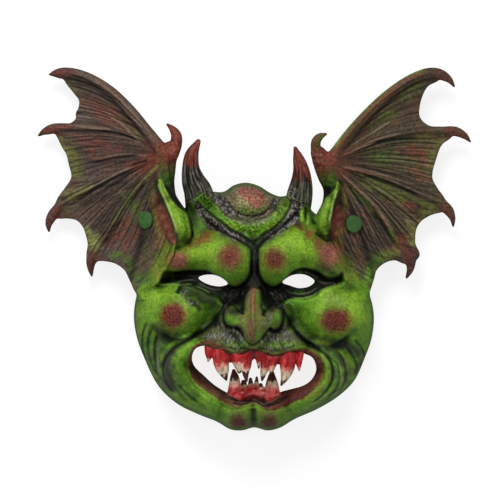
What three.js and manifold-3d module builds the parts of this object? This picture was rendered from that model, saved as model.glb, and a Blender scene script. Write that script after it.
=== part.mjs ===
// A devil mask: one hollow latex casting with a face, horns, ears, bat wings, gums and teeth,
// and two snap rivets.
// It lies on its back with its face up. X runs to the viewer's right, Y to the top of the mask,
// and Z out of the face.
// All sizes are in millimetres. The origin is on the surface it lies on, under the middle of its outline.

import * as THREE from 'three';
import Module from 'manifold-3d';
import { mergeVertices } from 'three/addons/utils/BufferGeometryUtils.js';

const wasm = await Module();
wasm.setup();

// Driving sizes of the casting
const WALL = 2.6;
const WING_SKIN = 3;
const FINGER_RIDGE = 2.4;
const FIT_GAP = 0.3;

// The face is a dome over a rim that lies flat, modelled outwards from its centre. Its rings crowd
// together towards the rim, where it turns down.
const FACE_CENTRE = [0, -45];
const DOME_HEIGHT = 62;
const DOME_FULLNESS = 2.3;
const RIM_ROUNDING = 22;
const FACE_SIDES = 56;
const FACE_RINGS = 20;
const CAVITY_SIDES = 40;
const CAVITY_RINGS = 13;
const CAVITY_PROBES = 8;
const PROBE_REACHES = [0.5, 1, 1.5, 2];
const PROBE_LIMIT = 2.6;
const RING_CROWDING = 0.55;
const RIM_SAMPLES = 600;
const FORM_FALL = 0.9;

// The rim's outline, anticlockwise from the right temple
const RIM = [
  [82, -15], [72, 5], [60, 20], [47, 30], [38, 40], [28, 43], [20, 42.4], [12, 45.5], [4, 50.5],
  [-6, 53.3], [-16, 51.5], [-25, 46], [-40, 46], [-52, 36], [-62, 22], [-72, 5], [-83, -15],
  [-93, -33], [-96.5, -52], [-94.5, -69], [-87.5, -89], [-76, -110.5], [-61.5, -123.8],
  [-44, -132.5], [-30, -138], [-19, -144.2], [-10, -145], [0, -142.6], [10, -145], [20, -143],
  [32, -136], [51, -127.5], [67.5, -117.3], [80, -105], [88, -88], [94, -70], [95.5, -52], [91, -33],
];

// Rounded forms of the face, each a chain of [x, y, radius, height at its crest]
const FORMS = [
  { name: 'forehead', blend: 6, chain: [[-26, 22, 24, 58], [24, 22, 23, 58]] },
  { name: 'left brow', blend: 2.5, chain: [
    [-17, -10, 17.5, 86], [-33, -2, 16.5, 77], [-49, -3, 12, 67], [-62, -8, 10, 58],
  ] },
  { name: 'right brow', blend: 2.5, chain: [
    [17, -10, 17, 86], [34, 1, 16.5, 78], [48, 3, 14, 68], [60, -3, 10, 58],
  ] },
  { name: 'crest', blend: 2.5, chain: [[-6, 37, 16.5, 70], [-2, 37, 16.5, 70]] },
  { name: 'left temple', blend: 4, chain: [[-45, 8, 12, 62], [-45, 26, 11, 56]] },
  { name: 'right temple', blend: 4, chain: [[43, 12, 12, 63], [41, 28, 10, 56]] },
  { name: 'left cheek', blend: 3, chain: [[-73, -50, 21, 57], [-56, -48, 23, 71]] },
  { name: 'right cheek', blend: 3, chain: [[74, -54, 21, 57], [54, -52, 23, 72]] },
  { name: 'left under eye', blend: 3, chain: [[-52, -37, 11, 63], [-36, -41, 9, 63]] },
  { name: 'right under eye', blend: 3, chain: [[54, -38, 11, 63], [37, -42, 9, 63]] },
  { name: 'muzzle', blend: 4, chain: [[-28, -73, 17, 74], [0, -76, 18, 80], [28, -74, 17, 74]] },
  { name: 'nose bridge', blend: 2, chain: [
    [0, -28, 8, 77], [0, -45, 9.5, 90], [-0.5, -58, 10.5, 99], [-0.5, -66, 9, 103],
  ] },
  { name: 'left nostril', blend: 2, chain: [[-17.5, -53, 8, 84], [-10, -58, 8, 89]] },
  { name: 'right nostril', blend: 2, chain: [[16.5, -53, 8, 84], [10, -57, 8, 89]] },
  { name: 'left mouth fold', blend: 3, chain: [
    [-50, -77, 9, 66], [-61, -92, 9.5, 60], [-54, -109, 9.5, 57], [-34, -123, 9.5, 60],
  ] },
  { name: 'right mouth fold', blend: 3, chain: [
    [50, -81, 9, 66], [60, -95, 9.5, 60], [53, -111, 9.5, 57], [34, -123, 9.5, 60],
  ] },
  { name: 'chin', blend: 4, chain: [[-16, -128, 14, 62], [16, -128, 14, 62]] },
];

// Folds that rise above the forms or sink below them: width is the half width, rise is in millimetres
const FOLDS = [
  { name: 'left brow V', width: 5, rise: -5, line: [[-3, 4], [-15, 12], [-28, 22], [-40, 35]] },
  { name: 'right brow V', width: 5, rise: -5, line: [[3, 4], [12, 12], [23, 21], [33, 32]] },
  { name: 'brow cleft', width: 4, rise: -9, line: [[0, 4], [0, -24]] },
  { name: 'crescent ridge', width: 4.6, rise: 8, line: [
    [-42, 41], [-34, 33], [-24, 24.5], [-13, 17], [-2, 14], [9, 16.5], [18, 23], [24, 31], [27, 40],
  ] },
  { name: 'left eye socket', width: 9, rise: -9, line: [[-50, -21], [-36, -23], [-24, -28]] },
  { name: 'right eye socket', width: 9, rise: -9, line: [[52, -23], [37, -24], [25, -28]] },
  { name: 'left nose fold', width: 5, rise: -7, line: [
    [-24, -43], [-29, -52], [-38, -63], [-50, -72], [-60, -76],
  ] },
  { name: 'right nose fold', width: 5, rise: -7, line: [
    [23, -44], [28, -56], [37, -67], [49, -75], [60, -78],
  ] },
  { name: 'upper lip', width: 4.4, rise: 3, line: [
    [-52, -85], [-45, -74], [-35, -74], [-25, -79], [-13, -81], [0, -76.5], [14, -81.5], [25, -81],
    [37, -77], [48, -82],
  ] },
  { name: 'lower lip', width: 4.4, rise: 3, line: [
    [48, -82], [54, -94], [49, -108], [36, -116], [20, -122], [10, -127], [0, -123], [-10, -126],
    [-24, -121], [-40, -111], [-52, -98], [-52, -85],
  ] },
  { name: 'chin cleft', width: 4, rise: -4, line: [[0, -128], [0, -140]] },
  { name: 'left jaw crease', width: 4, rise: -4, line: [
    [-71, -86], [-73, -97], [-67, -109], [-54, -120],
  ] },
  { name: 'right jaw crease', width: 4, rise: -4, line: [[71, -88], [73, -99], [66, -111], [52, -121]] },
];

// Openings through the skin, each a smooth closed line, and the number of sides that they are cut with
const EYE_SIDES = 16;
const MOUTH_SIDES = 42;
const LEFT_EYE = [
  [-21, -28], [-27, -22.5], [-34, -20.2], [-41, -20.8], [-45.5, -23], [-42, -26.5], [-35, -29.5],
  [-27, -30.3],
];
const RIGHT_EYE = [
  [22, -26.6], [27.5, -22], [34, -20], [42, -21], [48.5, -26], [44.5, -30.2], [36, -31.8], [28, -29.5],
];
const MOUTH = [
  [-50, -87], [-47.5, -80], [-41, -77.3], [-33, -79], [-25, -83.2], [-13, -85], [0, -80.5], [13, -85.5],
  [24, -84.5], [33, -81.5], [41, -84], [46.5, -87], [49.3, -96], [45.5, -104.3], [39, -109],
  [28.5, -112], [20, -114.5], [10, -122], [0, -118.8], [-10, -121.5], [-22, -114.8], [-32, -108.6],
  [-41, -100.5], [-48, -93.5],
];

// Tapering limbs, each a chain of [x, y, z, radius] from root to tip
const LEFT_HORN = [
  [-43, 32, 38, 12], [-45.5, 45, 52, 11.5], [-49.7, 55, 63, 9.5], [-52, 66, 73, 7], [-51, 77, 80, 5.4],
  [-46, 87.5, 84, 2],
];
const RIGHT_HORN = [
  [34, 32, 38, 11], [37, 45, 52, 10.2], [38.4, 55, 62, 8.4], [38, 65, 70, 6.4], [35.8, 74, 76, 4.4],
  [33.2, 82.3, 80, 1.4],
];
const LEFT_EAR = [
  [-58, 5, 58, 3.5], [-56, 15, 64, 6.8], [-61, 28, 66, 6.8], [-68, 41, 60, 4.6], [-76.5, 56, 49, 1],
];
const RIGHT_EAR = [
  [57, 5, 54, 3.5], [54, 16, 60, 6.2], [57, 28, 61, 5.6], [62, 41, 56, 3.4], [66.5, 53, 47, 1],
];
const LEFT_ARM = [
  [-58, 22, 42, 8], [-68.3, 38, 45, 7], [-71, 52, 46, 7], [-70.5, 65, 46, 7.4], [-70, 75.5, 46, 8.8],
  [-66.5, 81.5, 46, 6.5],
];
const RIGHT_ARM = [
  [54, 20, 40, 8], [60.8, 36, 42, 6.8], [61.8, 49, 43, 7], [57.8, 60, 43, 7.8], [55.5, 69, 43, 9],
  [51.5, 77, 43, 6.2],
];
const LEFT_THUMB = [
  [-67, 77, 46, 6.5], [-63, 84, 48, 5], [-62.8, 91, 51, 4.1], [-65.5, 96, 52, 2.9],
  [-69.8, 100, 52, 0.9],
];
const RIGHT_THUMB = [
  [53, 72, 43, 6.5], [48.8, 80, 45, 4.2], [49, 87, 48, 3.8], [52.5, 91, 49, 2.9], [57.6, 93, 49, 0.9],
];

// Each wing: fingers run from the wrist as [x, y, radius]. Their first stations, as many as bones says,
// carry the membrane, and the rest are a free claw. Webs are the membrane's free edge between the ends
// of neighbouring fingers. Flat is the membrane's height far out, and rise is what it gains by the temple.
const LEFT_WING = {
  wrist: [-72, 77],
  flat: 14,
  rise: 46,
  fingers: [
    { bones: 7, chain: [
      [-72, 77, 5], [-86.5, 95, 4.6], [-100, 111.5, 4.4], [-115.5, 126.5, 4.2], [-132, 136.5, 4.2],
      [-145, 140.5, 4.4], [-155, 140.2, 4.4], [-160.5, 139.8, 2.4], [-163.8, 139.4, 0.8],
    ] },
    { bones: 7, chain: [
      [-72, 77, 3.4], [-85, 85.5, 2.8], [-101, 92, 2.6], [-121, 96.8, 2.6], [-139, 98.2, 2.8],
      [-153, 97.2, 3.8], [-162, 95.6, 3.8], [-168.5, 93.2, 2.4], [-172.8, 90.6, 0.8],
    ] },
    { bones: 7, chain: [
      [-72, 77, 3.4], [-86, 69.5, 2.8], [-105, 61.5, 2.6], [-124, 52, 2.6], [-141, 43, 2.8],
      [-155, 35, 4.2], [-161.6, 27, 4.2], [-164.6, 20, 2.8], [-164.4, 14.4, 0.9],
    ] },
    { bones: 7, chain: [
      [-72, 77, 3.4], [-83, 64, 2.8], [-97, 46.5, 2.6], [-109, 30, 2.6], [-119, 13, 2.8],
      [-127.8, -1, 3.8], [-130.6, -9, 3.8], [-131, -15, 2.8], [-130.2, -21, 1],
    ] },
    { bones: 6, chain: [
      [-72, 77, 3], [-69, 57, 2], [-62, 38, 2], [-60, 18, 2], [-67, -4, 2], [-84, -33, 2],
    ] },
  ],
  webs: [
    [[-151, 133], [-144, 124], [-140, 115], [-141.6, 107], [-146, 101.5], [-154, 98.5]],
    [[-157.5, 90.5], [-153, 81.5], [-148.2, 69], [-146, 57.5], [-150.5, 49.5], [-157.5, 40]],
    [[-156.5, 24.5], [-149, 24.5], [-142, 22.5], [-136.6, 17.5], [-133.4, 8.5], [-132, -1]],
    [[-125.5, -8], [-119, -8.2], [-110, -10.7], [-103, -16.3], [-98.5, -25], [-92.5, -34]],
  ],
};
const RIGHT_WING = {
  wrist: [60, 70],
  flat: 20,
  rise: 24,
  fingers: [
    { bones: 7, chain: [
      [60, 70, 5], [74.5, 90, 4.6], [91, 108.5, 4.4], [108, 124, 4.4], [125, 135.4, 4.4],
      [139, 140.6, 4.5], [148.5, 139.8, 4.4], [155.7, 135.7, 2.8], [159.7, 130.4, 0.9],
    ] },
    { bones: 7, chain: [
      [60, 70, 3.4], [75, 78, 2.8], [92, 85.5, 2.6], [111, 91, 2.6], [132, 94, 2.8], [149, 94.8, 3.8],
      [161, 94.2, 3.8], [168.5, 90.4, 2.6], [172.6, 86, 0.8],
    ] },
    { bones: 7, chain: [
      [60, 70, 3.4], [75, 65.5, 2.8], [95, 60, 2.6], [114, 53, 2.6], [131, 45.5, 2.8], [147, 38.5, 4.2],
      [154.8, 31.5, 4.2], [158.3, 25, 2.6], [159, 18.6, 0.9],
    ] },
    { bones: 7, chain: [
      [60, 70, 3.4], [72, 58.5, 2.8], [88, 43.5, 2.6], [101, 29, 2.6], [111, 14, 2.8], [121.8, -2, 4.2],
      [125.2, -9, 4.2], [125, -16, 3], [121.8, -22.4, 1.1],
    ] },
    { bones: 6, chain: [[60, 70, 3], [62, 52, 2], [58, 34, 2], [56, 15, 2], [63, -4, 2], [80, -33, 2]] },
  ],
  webs: [
    [[147, 135], [138.5, 130], [133, 118], [132.3, 106], [139, 99.2], [150, 97.5]],
    [[157, 89], [150, 83.5], [145.3, 72], [142.3, 57.5], [146.5, 48.8], [152, 41]],
    [[149.5, 29.5], [142, 27.6], [133.5, 22.5], [129.5, 16], [128.6, 6], [129.5, -4]],
    [[120, -10.5], [113, -7.8], [104, -9.8], [97, -16], [93.8, -26], [89, -34.5]],
  ],
};
const WEB_STEPS = [0, 0.14, 0.38, 0.62, 0.86];
const WING_ROWS = 5;
const NEAREST_THE_WRIST = 0.05;
const RIDGE_GROWTH = 3;
const FINGER_PROUD = 0.4;

// Gums and teeth, set back behind the lips. A gum is a chain of [x, y, radius]. A tooth runs from its
// root to its tip as [x, y], with a width at the root.
const UPPER_GUM = [
  [-39, -79.5, 3], [-31, -81, 5.6], [-18, -85, 5.8], [-7, -85, 5.8], [0, -81.5, 5.6], [9, -86, 6.4],
  [20, -86, 6], [31, -84.5, 6], [39, -85, 3],
];
const LOWER_GUM = [[-19, -118, 4.6], [-9, -118, 6], [0, -116.5, 6.6], [8, -118, 6], [18, -118.5, 4.6]];
const GUM_DEPTH = 6.5;
const TOOTH_DEPTH = 5.5;
const TOOTH_FORWARD = 2;
const TOOTH_TIP_R = 0.6;
const TOOTH_THICKNESS = 0.75;
const TOOTH_BELLY = { along: 0.55, sideways: 0.45, fullness: 0.8 };
const UPPER_TEETH = [
  { root: [-36, -79], tip: [-37.8, -90], width: 8 },
  { root: [-28, -83], tip: [-22.8, -105], width: 12 },
  { root: [-12.5, -86], tip: [-12.5, -98.5], width: 12 },
  { root: [-6, -85], tip: [-6.5, -105], width: 8 },
  { root: [2.8, -85], tip: [3.4, -95.5], width: 4.6 },
  { root: [8, -87], tip: [6.3, -105], width: 7.5 },
  { root: [14, -87], tip: [13.5, -98], width: 8.6 },
  { root: [26.5, -84], tip: [21.3, -109.5], width: 12.6 },
  { root: [36.3, -83], tip: [36.8, -97.5], width: 7.4 },
];
const LOWER_TEETH = [
  { root: [-16.3, -117], tip: [-16.8, -96], width: 12.4 },
  { root: [-8, -115], tip: [-8.2, -105], width: 5.4 },
  { root: [-3, -114], tip: [-3.2, -102.5], width: 5.4 },
  { root: [1.8, -114], tip: [2, -101], width: 5 },
  { root: [6.5, -115], tip: [6.5, -107], width: 5 },
  { root: [14.3, -118], tip: [14, -95.6], width: 12.8 },
];

// Snap rivets: a domed cap in front, a shank through the wing's root and a flat stud behind
const RIVET_CAP_R = 6.9;
const RIVET_CAP_HEIGHT = 2.4;
const RIVET_SHANK_R = 2.2;
const RIVET_STUD_R = 5.6;
const RIVET_STUD_HEIGHT = 2.2;
const RIVET_SIDES = 16;
const RIVET_CAP_STEPS = 4;
const RIVETS = [
  { name: 'rivet_left', at: [-86.3, 23.4], wing: LEFT_WING },
  { name: 'rivet_right', at: [78.7, 20.2], wing: RIGHT_WING },
];

const HALF = 0.5;
const FULL_TURN = Math.PI * 2;
const MERGE_GAP = 1e-3;
const BELOW_THE_RIM = 6;
const ABOVE_THE_FACE = 130;

const lerp = THREE.MathUtils.lerp;

// Blends the higher of two heights over a band of the given width
function smoothMax(a, b, band) {
  const share = THREE.MathUtils.clamp(HALF + (HALF * (a - b)) / band, 0, 1);
  return lerp(b, a, share) + band * share * (1 - share);
}

// How far a point is from a chain of stations, and the station values there
function nearestOnChain(x, y, chain) {
  let best = { distance: Infinity, station: chain[0] };
  const last = Math.max(1, chain.length - 1);
  for (let i = 0; i < last; i++) {
    const from = chain[i];
    const to = chain[Math.min(i + 1, chain.length - 1)];
    const run = [to[0] - from[0], to[1] - from[1]];
    const length2 = run[0] ** 2 + run[1] ** 2;
    const along = length2 ? ((x - from[0]) * run[0] + (y - from[1]) * run[1]) / length2 : 0;
    const share = THREE.MathUtils.clamp(along, 0, 1);
    const station = from.map((value, k) => lerp(value, to[k], share));
    const distance = Math.hypot(x - station[0], y - station[1]);
    if (distance < best.distance) best = { distance, station };
  }
  return best;
}

// The rim's distance from the face's centre in a direction
const rimCurve = new THREE.CatmullRomCurve3(RIM.map(([x, y]) => new THREE.Vector3(x, y, 0)), true);
const rimTable = rimCurve.getPoints(RIM_SAMPLES).map(({ x, y }) => {
  const across = [x - FACE_CENTRE[0], y - FACE_CENTRE[1]];
  return { angle: Math.atan2(across[1], across[0]), reach: Math.hypot(...across) };
});
rimTable.sort((a, b) => a.angle - b.angle);

function rimReach(angle) {
  const turned = Math.atan2(Math.sin(angle), Math.cos(angle));
  const after = rimTable.findIndex((entry) => entry.angle >= turned);
  const high = rimTable[after < 0 ? 0 : after];
  const low = rimTable[after <= 0 ? rimTable.length - 1 : after - 1];
  const gap = high.angle - low.angle;
  const share = gap > 0 ? (turned - low.angle) / gap : HALF;
  return lerp(low.reach, high.reach, share);
}

// Height of the face's outer surface
function faceHeight(x, y) {
  const across = [x - FACE_CENTRE[0], y - FACE_CENTRE[1]];
  const share = Math.hypot(...across) / rimReach(Math.atan2(across[1], across[0]));
  if (share >= 1) return 0;
  let height = DOME_HEIGHT * Math.sqrt(1 - share ** DOME_FULLNESS);
  for (const { chain, blend } of FORMS) {
    const { distance, station } = nearestOnChain(x, y, chain);
    const [, , radius, crest] = station;
    height = smoothMax(height, crest - (distance ** 2 / radius) * FORM_FALL, blend);
  }
  for (const { line, width, rise } of FOLDS) {
    height += rise * Math.exp(-((nearestOnChain(x, y, line).distance / width) ** 2));
  }
  return Math.max(0, height) * Math.sqrt(1 - share ** RIM_ROUNDING);
}

// Height of the face's inner surface. It is probed all round, so that the wall keeps its thickness where
// the outer surface is steep.
function cavityHeight(x, y) {
  let height = faceHeight(x, y) - WALL;
  for (const share of PROBE_REACHES) {
    const reach = WALL * share;
    const drop = WALL * (1 - (share / PROBE_LIMIT) ** 2);
    for (let k = 0; k < CAVITY_PROBES; k++) {
      const angle = (FULL_TURN * k) / CAVITY_PROBES;
      const above = faceHeight(x + reach * Math.cos(angle), y + reach * Math.sin(angle));
      height = Math.min(height, above - drop);
    }
  }
  return Math.max(height, 0);
}

// A closed solid from a three.js geometry. Faces are turned to point out, and flattened ones are dropped.
function solidOf(geometry) {
  const bare = new THREE.BufferGeometry();
  bare.setAttribute('position', geometry.getAttribute('position').clone());
  if (geometry.index) bare.setIndex(geometry.index.clone());
  const merged = mergeVertices(bare, MERGE_GAP);
  const place = merged.getAttribute('position');
  const corners = [];
  let volume = 0;
  const [a, b, c] = [new THREE.Vector3(), new THREE.Vector3(), new THREE.Vector3()];
  for (let i = 0; i < merged.index.count; i += 3) {
    const [p, q, r] = [0, 1, 2].map((k) => merged.index.getX(i + k));
    if (p === q || q === r || r === p) continue;
    corners.push([p, q, r]);
    a.fromBufferAttribute(place, p);
    b.fromBufferAttribute(place, q);
    c.fromBufferAttribute(place, r);
    volume += a.dot(b.cross(c));
  }
  const facing = volume < 0 ? corners.map(([p, q, r]) => [p, r, q]) : corners;
  return new wasm.Manifold(new wasm.Mesh({
    numProp: 3,
    vertProperties: place.array,
    triVerts: Uint32Array.from(facing.flat()),
  }));
}

// A sphere whose vertices are moved: row 0 and the last row are its poles
function mouldedSphere(sides, rows, pointAt) {
  const geometry = new THREE.SphereGeometry(1, sides, rows);
  const place = geometry.getAttribute('position');
  for (let row = 0; row <= rows; row++) {
    for (let side = 0; side <= sides; side++) {
      const pole = row === 0 || row === rows;
      place.setXYZ(row * (sides + 1) + side, ...pointAt(row, pole ? 0 : side % sides));
    }
  }
  return solidOf(geometry);
}

// A dome over the rim, drawn in by inset, with a flat underside at the given level
function dome(sides, rings, inset, heightAt, underside) {
  return mouldedSphere(sides, rings + 1, (row, side) => {
    const angle = (FULL_TURN * side) / sides;
    const outwards = row / rings;
    const share = row > rings ? 0 : lerp(outwards, Math.sin(outwards * Math.PI * HALF), RING_CROWDING);
    const reach = (rimReach(angle) - inset) * share;
    const x = FACE_CENTRE[0] + reach * Math.cos(angle);
    const y = FACE_CENTRE[1] + reach * Math.sin(angle);
    return [x, y, row >= rings ? underside : heightAt(x, y)];
  });
}

// A limb along a chain of [x, y, z, radius], round across, or deeper than wide by depth
function limb(chain, { sides = 8, rows = 10, depth = 1 } = {}) {
  const curve = new THREE.CatmullRomCurve3(chain.map(([x, y, z]) => new THREE.Vector3(x, y, z)));
  const up = new THREE.Vector3(0, 0, 1);
  return mouldedSphere(sides, rows, (row, side) => {
    const share = 1 - THREE.MathUtils.clamp((row - 1) / (rows - 2), 0, 1);
    const centre = curve.getPoint(share);
    if (row === 0 || row === rows) return centre.toArray();
    const place = share * (chain.length - 1);
    const before = Math.min(Math.floor(place), chain.length - 2);
    const radius = lerp(chain[before][3], chain[before + 1][3], place - before);
    const ahead = curve.getTangent(share);
    const across = new THREE.Vector3().crossVectors(ahead, up).normalize();
    const over = new THREE.Vector3().crossVectors(across, ahead);
    const angle = (FULL_TURN * side) / sides;
    centre.addScaledVector(across, radius * Math.cos(angle));
    centre.addScaledVector(over, radius * depth * Math.sin(angle));
    return centre.toArray();
  });
}

// Height of a wing's front surface: high at the temple, and flattening outwards
const TEMPLE_X = 64;
const WING_FADE = 30;
function wingHeight(wing, x) {
  const outwards = Math.max(0, Math.abs(x) - TEMPLE_X);
  return wing.flat + wing.rise * Math.exp(-outwards / WING_FADE);
}

// How a finger bows away from the straight line between its ends, at a share of its length
function fingerBow(finger, share) {
  const bones = finger.chain.slice(0, finger.bones).map(([x, y]) => new THREE.Vector3(x, y, 0));
  const straight = new THREE.Vector3().lerpVectors(bones[0], bones[bones.length - 1], share);
  return new THREE.CatmullRomCurve3(bones).getPoint(share).sub(straight);
}

// The membrane as a thick sheet: columns run across the webs, rows from the wrist to the free edge.
// It is raised into a ridge along each finger.
function membrane(wing) {
  const columns = [];
  const ends = wing.fingers.map(({ chain, bones }) => chain[bones - 1]);
  wing.webs.forEach((web, i) => {
    const line = [ends[i], ...web, ends[i + 1]];
    const edge = new THREE.CatmullRomCurve3(line.map(([x, y]) => new THREE.Vector3(x, y, 0)));
    const fingers = [wing.fingers[i], wing.fingers[i + 1]];
    const steps = i === wing.webs.length - 1 ? [...WEB_STEPS, 1] : WEB_STEPS;
    for (const across of steps) columns.push({ end: edge.getPoint(across), across, fingers });
  });
  const wrist = new THREE.Vector3(...wing.wrist, 0);
  const geometry = new THREE.BoxGeometry(1, 1, 1, columns.length - 1, WING_ROWS, 1);
  const place = geometry.getAttribute('position');
  for (let i = 0; i < place.count; i++) {
    const { end, across, fingers } = columns[Math.round((place.getX(i) + HALF) * (columns.length - 1))];
    const share = lerp(NEAREST_THE_WRIST, 1, Math.round((place.getY(i) + HALF) * WING_ROWS) / WING_ROWS);
    const point = new THREE.Vector3().lerpVectors(wrist, end, share);
    point.addScaledVector(fingerBow(fingers[0], share), 1 - across);
    point.addScaledVector(fingerBow(fingers[1], share), across);
    const ridge = across === 0 ? FINGER_RIDGE * Math.min(1, share * RIDGE_GROWTH) : 0;
    const back = wingHeight(wing, point.x) - WING_SKIN;
    place.setXYZ(i, point.x, point.y, place.getZ(i) > 0 ? back + WING_SKIN + ridge : back);
  }
  return solidOf(geometry);
}

function wingSolid(wing) {
  const clawed = wing.fingers.filter((finger) => finger.chain.length > finger.bones);
  const fingers = clawed.map(({ chain, bones }, i) => {
    const shown = i === 0 ? chain : chain.slice(bones - 2);
    const lift = FINGER_PROUD - WING_SKIN * HALF;
    return limb(shown.map(([x, y, r]) => [x, y, wingHeight(wing, x) + lift, r]), {
      sides: 6,
      rows: i === 0 ? 10 : 5,
    });
  });
  return fingers.reduce((whole, finger) => whole.add(finger), membrane(wing));
}

// A straight-sided cutter through the face with a smooth closed outline
function throughCutter(outline, sides) {
  const curve = new THREE.CatmullRomCurve3(outline.map(([x, y]) => new THREE.Vector3(x, y, 0)), true);
  const points = curve.getPoints(sides).slice(0, -1).map(({ x, y }) => new THREE.Vector2(x, y));
  const depth = ABOVE_THE_FACE + BELOW_THE_RIM;
  const geometry = new THREE.ExtrudeGeometry(new THREE.Shape(points), { depth, bevelEnabled: false });
  return solidOf(geometry.translate(0, 0, -BELOW_THE_RIM));
}

function gum(chain, rows) {
  return limb(chain.map(([x, y, r]) => [x, y, faceHeight(x, y) - GUM_DEPTH, r]), { sides: 6, rows });
}

function tooth({ root, tip, width }) {
  const level = faceHeight(...root) - TOOTH_DEPTH;
  const { along, sideways, fullness } = TOOTH_BELLY;
  const middle = [lerp(root[0], tip[0], sideways), lerp(root[1], tip[1], along)];
  const radius = width * HALF;
  return limb([
    [...root, level, radius],
    [...middle, level + TOOTH_FORWARD, radius * fullness],
    [...tip, level + TOOTH_FORWARD * HALF, TOOTH_TIP_R],
  ], { sides: 5, rows: 5, depth: TOOTH_THICKNESS });
}

// Puts a geometry made along Y on the wing at [x, y], standing off its surface
function standOnWing(geometry, { at: [x, y], wing }) {
  const step = 1;
  const slope = (wingHeight(wing, x + step) - wingHeight(wing, x - step)) / (2 * step);
  const normal = new THREE.Vector3(-slope, 0, 1).normalize();
  const turn = new THREE.Quaternion().setFromUnitVectors(new THREE.Vector3(0, 1, 0), normal);
  return geometry.applyQuaternion(turn).translate(x, y, wingHeight(wing, x));
}

// A rivet's turned profile up to its cap's edge
const RIVET_FRONT = FIT_GAP;
const RIVET_BACK = -WING_SKIN - FIT_GAP;
function rivetProfile(gap) {
  return [
    [0, RIVET_BACK - RIVET_STUD_HEIGHT - gap],
    [RIVET_STUD_R + gap, RIVET_BACK - RIVET_STUD_HEIGHT - gap],
    [RIVET_STUD_R + gap, RIVET_BACK + gap],
    [RIVET_SHANK_R + gap, RIVET_BACK + gap],
    [RIVET_SHANK_R + gap, RIVET_FRONT - gap],
    [RIVET_CAP_R + gap, RIVET_FRONT - gap],
  ].map(([r, h]) => new THREE.Vector2(r, h));
}

function rivetGeometry() {
  const cap = new THREE.EllipseCurve(0, RIVET_FRONT, RIVET_CAP_R, RIVET_CAP_HEIGHT, 0, Math.PI * HALF);
  const dome = cap.getPoints(RIVET_CAP_STEPS).slice(1, -1);
  const top = new THREE.Vector2(0, RIVET_FRONT + RIVET_CAP_HEIGHT);
  return new THREE.LatheGeometry([...rivetProfile(0), ...dome, top], RIVET_SIDES);
}

// The room that the wing leaves for a rivet
const SEAT_DEPTH = 6;
function rivetRoom() {
  const profile = rivetProfile(FIT_GAP);
  profile[0].y -= SEAT_DEPTH;
  profile[1].y -= SEAT_DEPTH;
  profile.push(new THREE.Vector2(RIVET_CAP_R + FIT_GAP, SEAT_DEPTH), new THREE.Vector2(0, SEAT_DEPTH));
  return new THREE.LatheGeometry(profile, RIVET_SIDES);
}

function meshOf(solid, material, name) {
  const { numProp, vertProperties, triVerts } = solid.getMesh();
  const place = new Float32Array((vertProperties.length / numProp) * 3);
  for (let i = 0; i < place.length / 3; i++) {
    place.set(vertProperties.subarray(i * numProp, i * numProp + 3), i * 3);
  }
  const geometry = new THREE.BufferGeometry();
  geometry.setAttribute('position', new THREE.BufferAttribute(place, 3));
  geometry.setIndex(new THREE.BufferAttribute(triVerts, 1));
  geometry.computeVertexNormals();
  const mesh = new THREE.Mesh(geometry, material);
  mesh.name = name;
  return mesh;
}

const latex = new THREE.MeshStandardMaterial({ color: 0x5fa31c, roughness: 0.5, metalness: 0 });
const plastic = new THREE.MeshStandardMaterial({ color: 0x2f7a45, roughness: 0.35, metalness: 0 });

function maskSolid() {
  const outside = [
    limb(LEFT_HORN, { sides: 9, rows: 9 }),
    limb(RIGHT_HORN, { sides: 9, rows: 9 }),
    limb(LEFT_EAR, { sides: 7, rows: 9, depth: 1.9 }),
    limb(RIGHT_EAR, { sides: 7, rows: 9, depth: 1.9 }),
    limb(LEFT_ARM, { sides: 7, rows: 8 }),
    limb(RIGHT_ARM, { sides: 7, rows: 8 }),
    limb(LEFT_THUMB, { sides: 6, rows: 8 }),
    limb(RIGHT_THUMB, { sides: 6, rows: 8 }),
    wingSolid(LEFT_WING),
    wingSolid(RIGHT_WING),
  ];
  const inside = [
    gum(UPPER_GUM, 10),
    gum(LOWER_GUM, 7),
    ...UPPER_TEETH.map(tooth),
    ...LOWER_TEETH.map(tooth),
  ];
  const cavity = dome(CAVITY_SIDES, CAVITY_RINGS, WALL, cavityHeight, -BELOW_THE_RIM);
  let solid = dome(FACE_SIDES, FACE_RINGS, 0, faceHeight, 0);
  for (const piece of outside) solid = solid.add(piece);
  solid = solid.subtract(cavity);
  solid = solid.subtract(throughCutter(LEFT_EYE, EYE_SIDES));
  solid = solid.subtract(throughCutter(RIGHT_EYE, EYE_SIDES));
  solid = solid.subtract(throughCutter(MOUTH, MOUTH_SIDES));
  for (const piece of inside) solid = solid.add(piece);
  for (const rivet of RIVETS) solid = solid.subtract(solidOf(standOnWing(rivetRoom(), rivet)));
  return solid;
}

const mask = new THREE.Group();
mask.add(meshOf(maskSolid(), latex, 'mask'));
for (const rivet of RIVETS) {
  mask.add(meshOf(solidOf(standOnWing(rivetGeometry(), rivet)), plastic, rivet.name));
}

export default mask;
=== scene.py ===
# The looks of a devil mask that lies on its back: moulded latex skin with horns, ears, bat wings,
# gums and teeth, painted by hand, and two snap rivets.
# The shapes are worked out in millimetres, in the frame of the CAD part, and turned to metres when
# a piece is made.

import math

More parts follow.
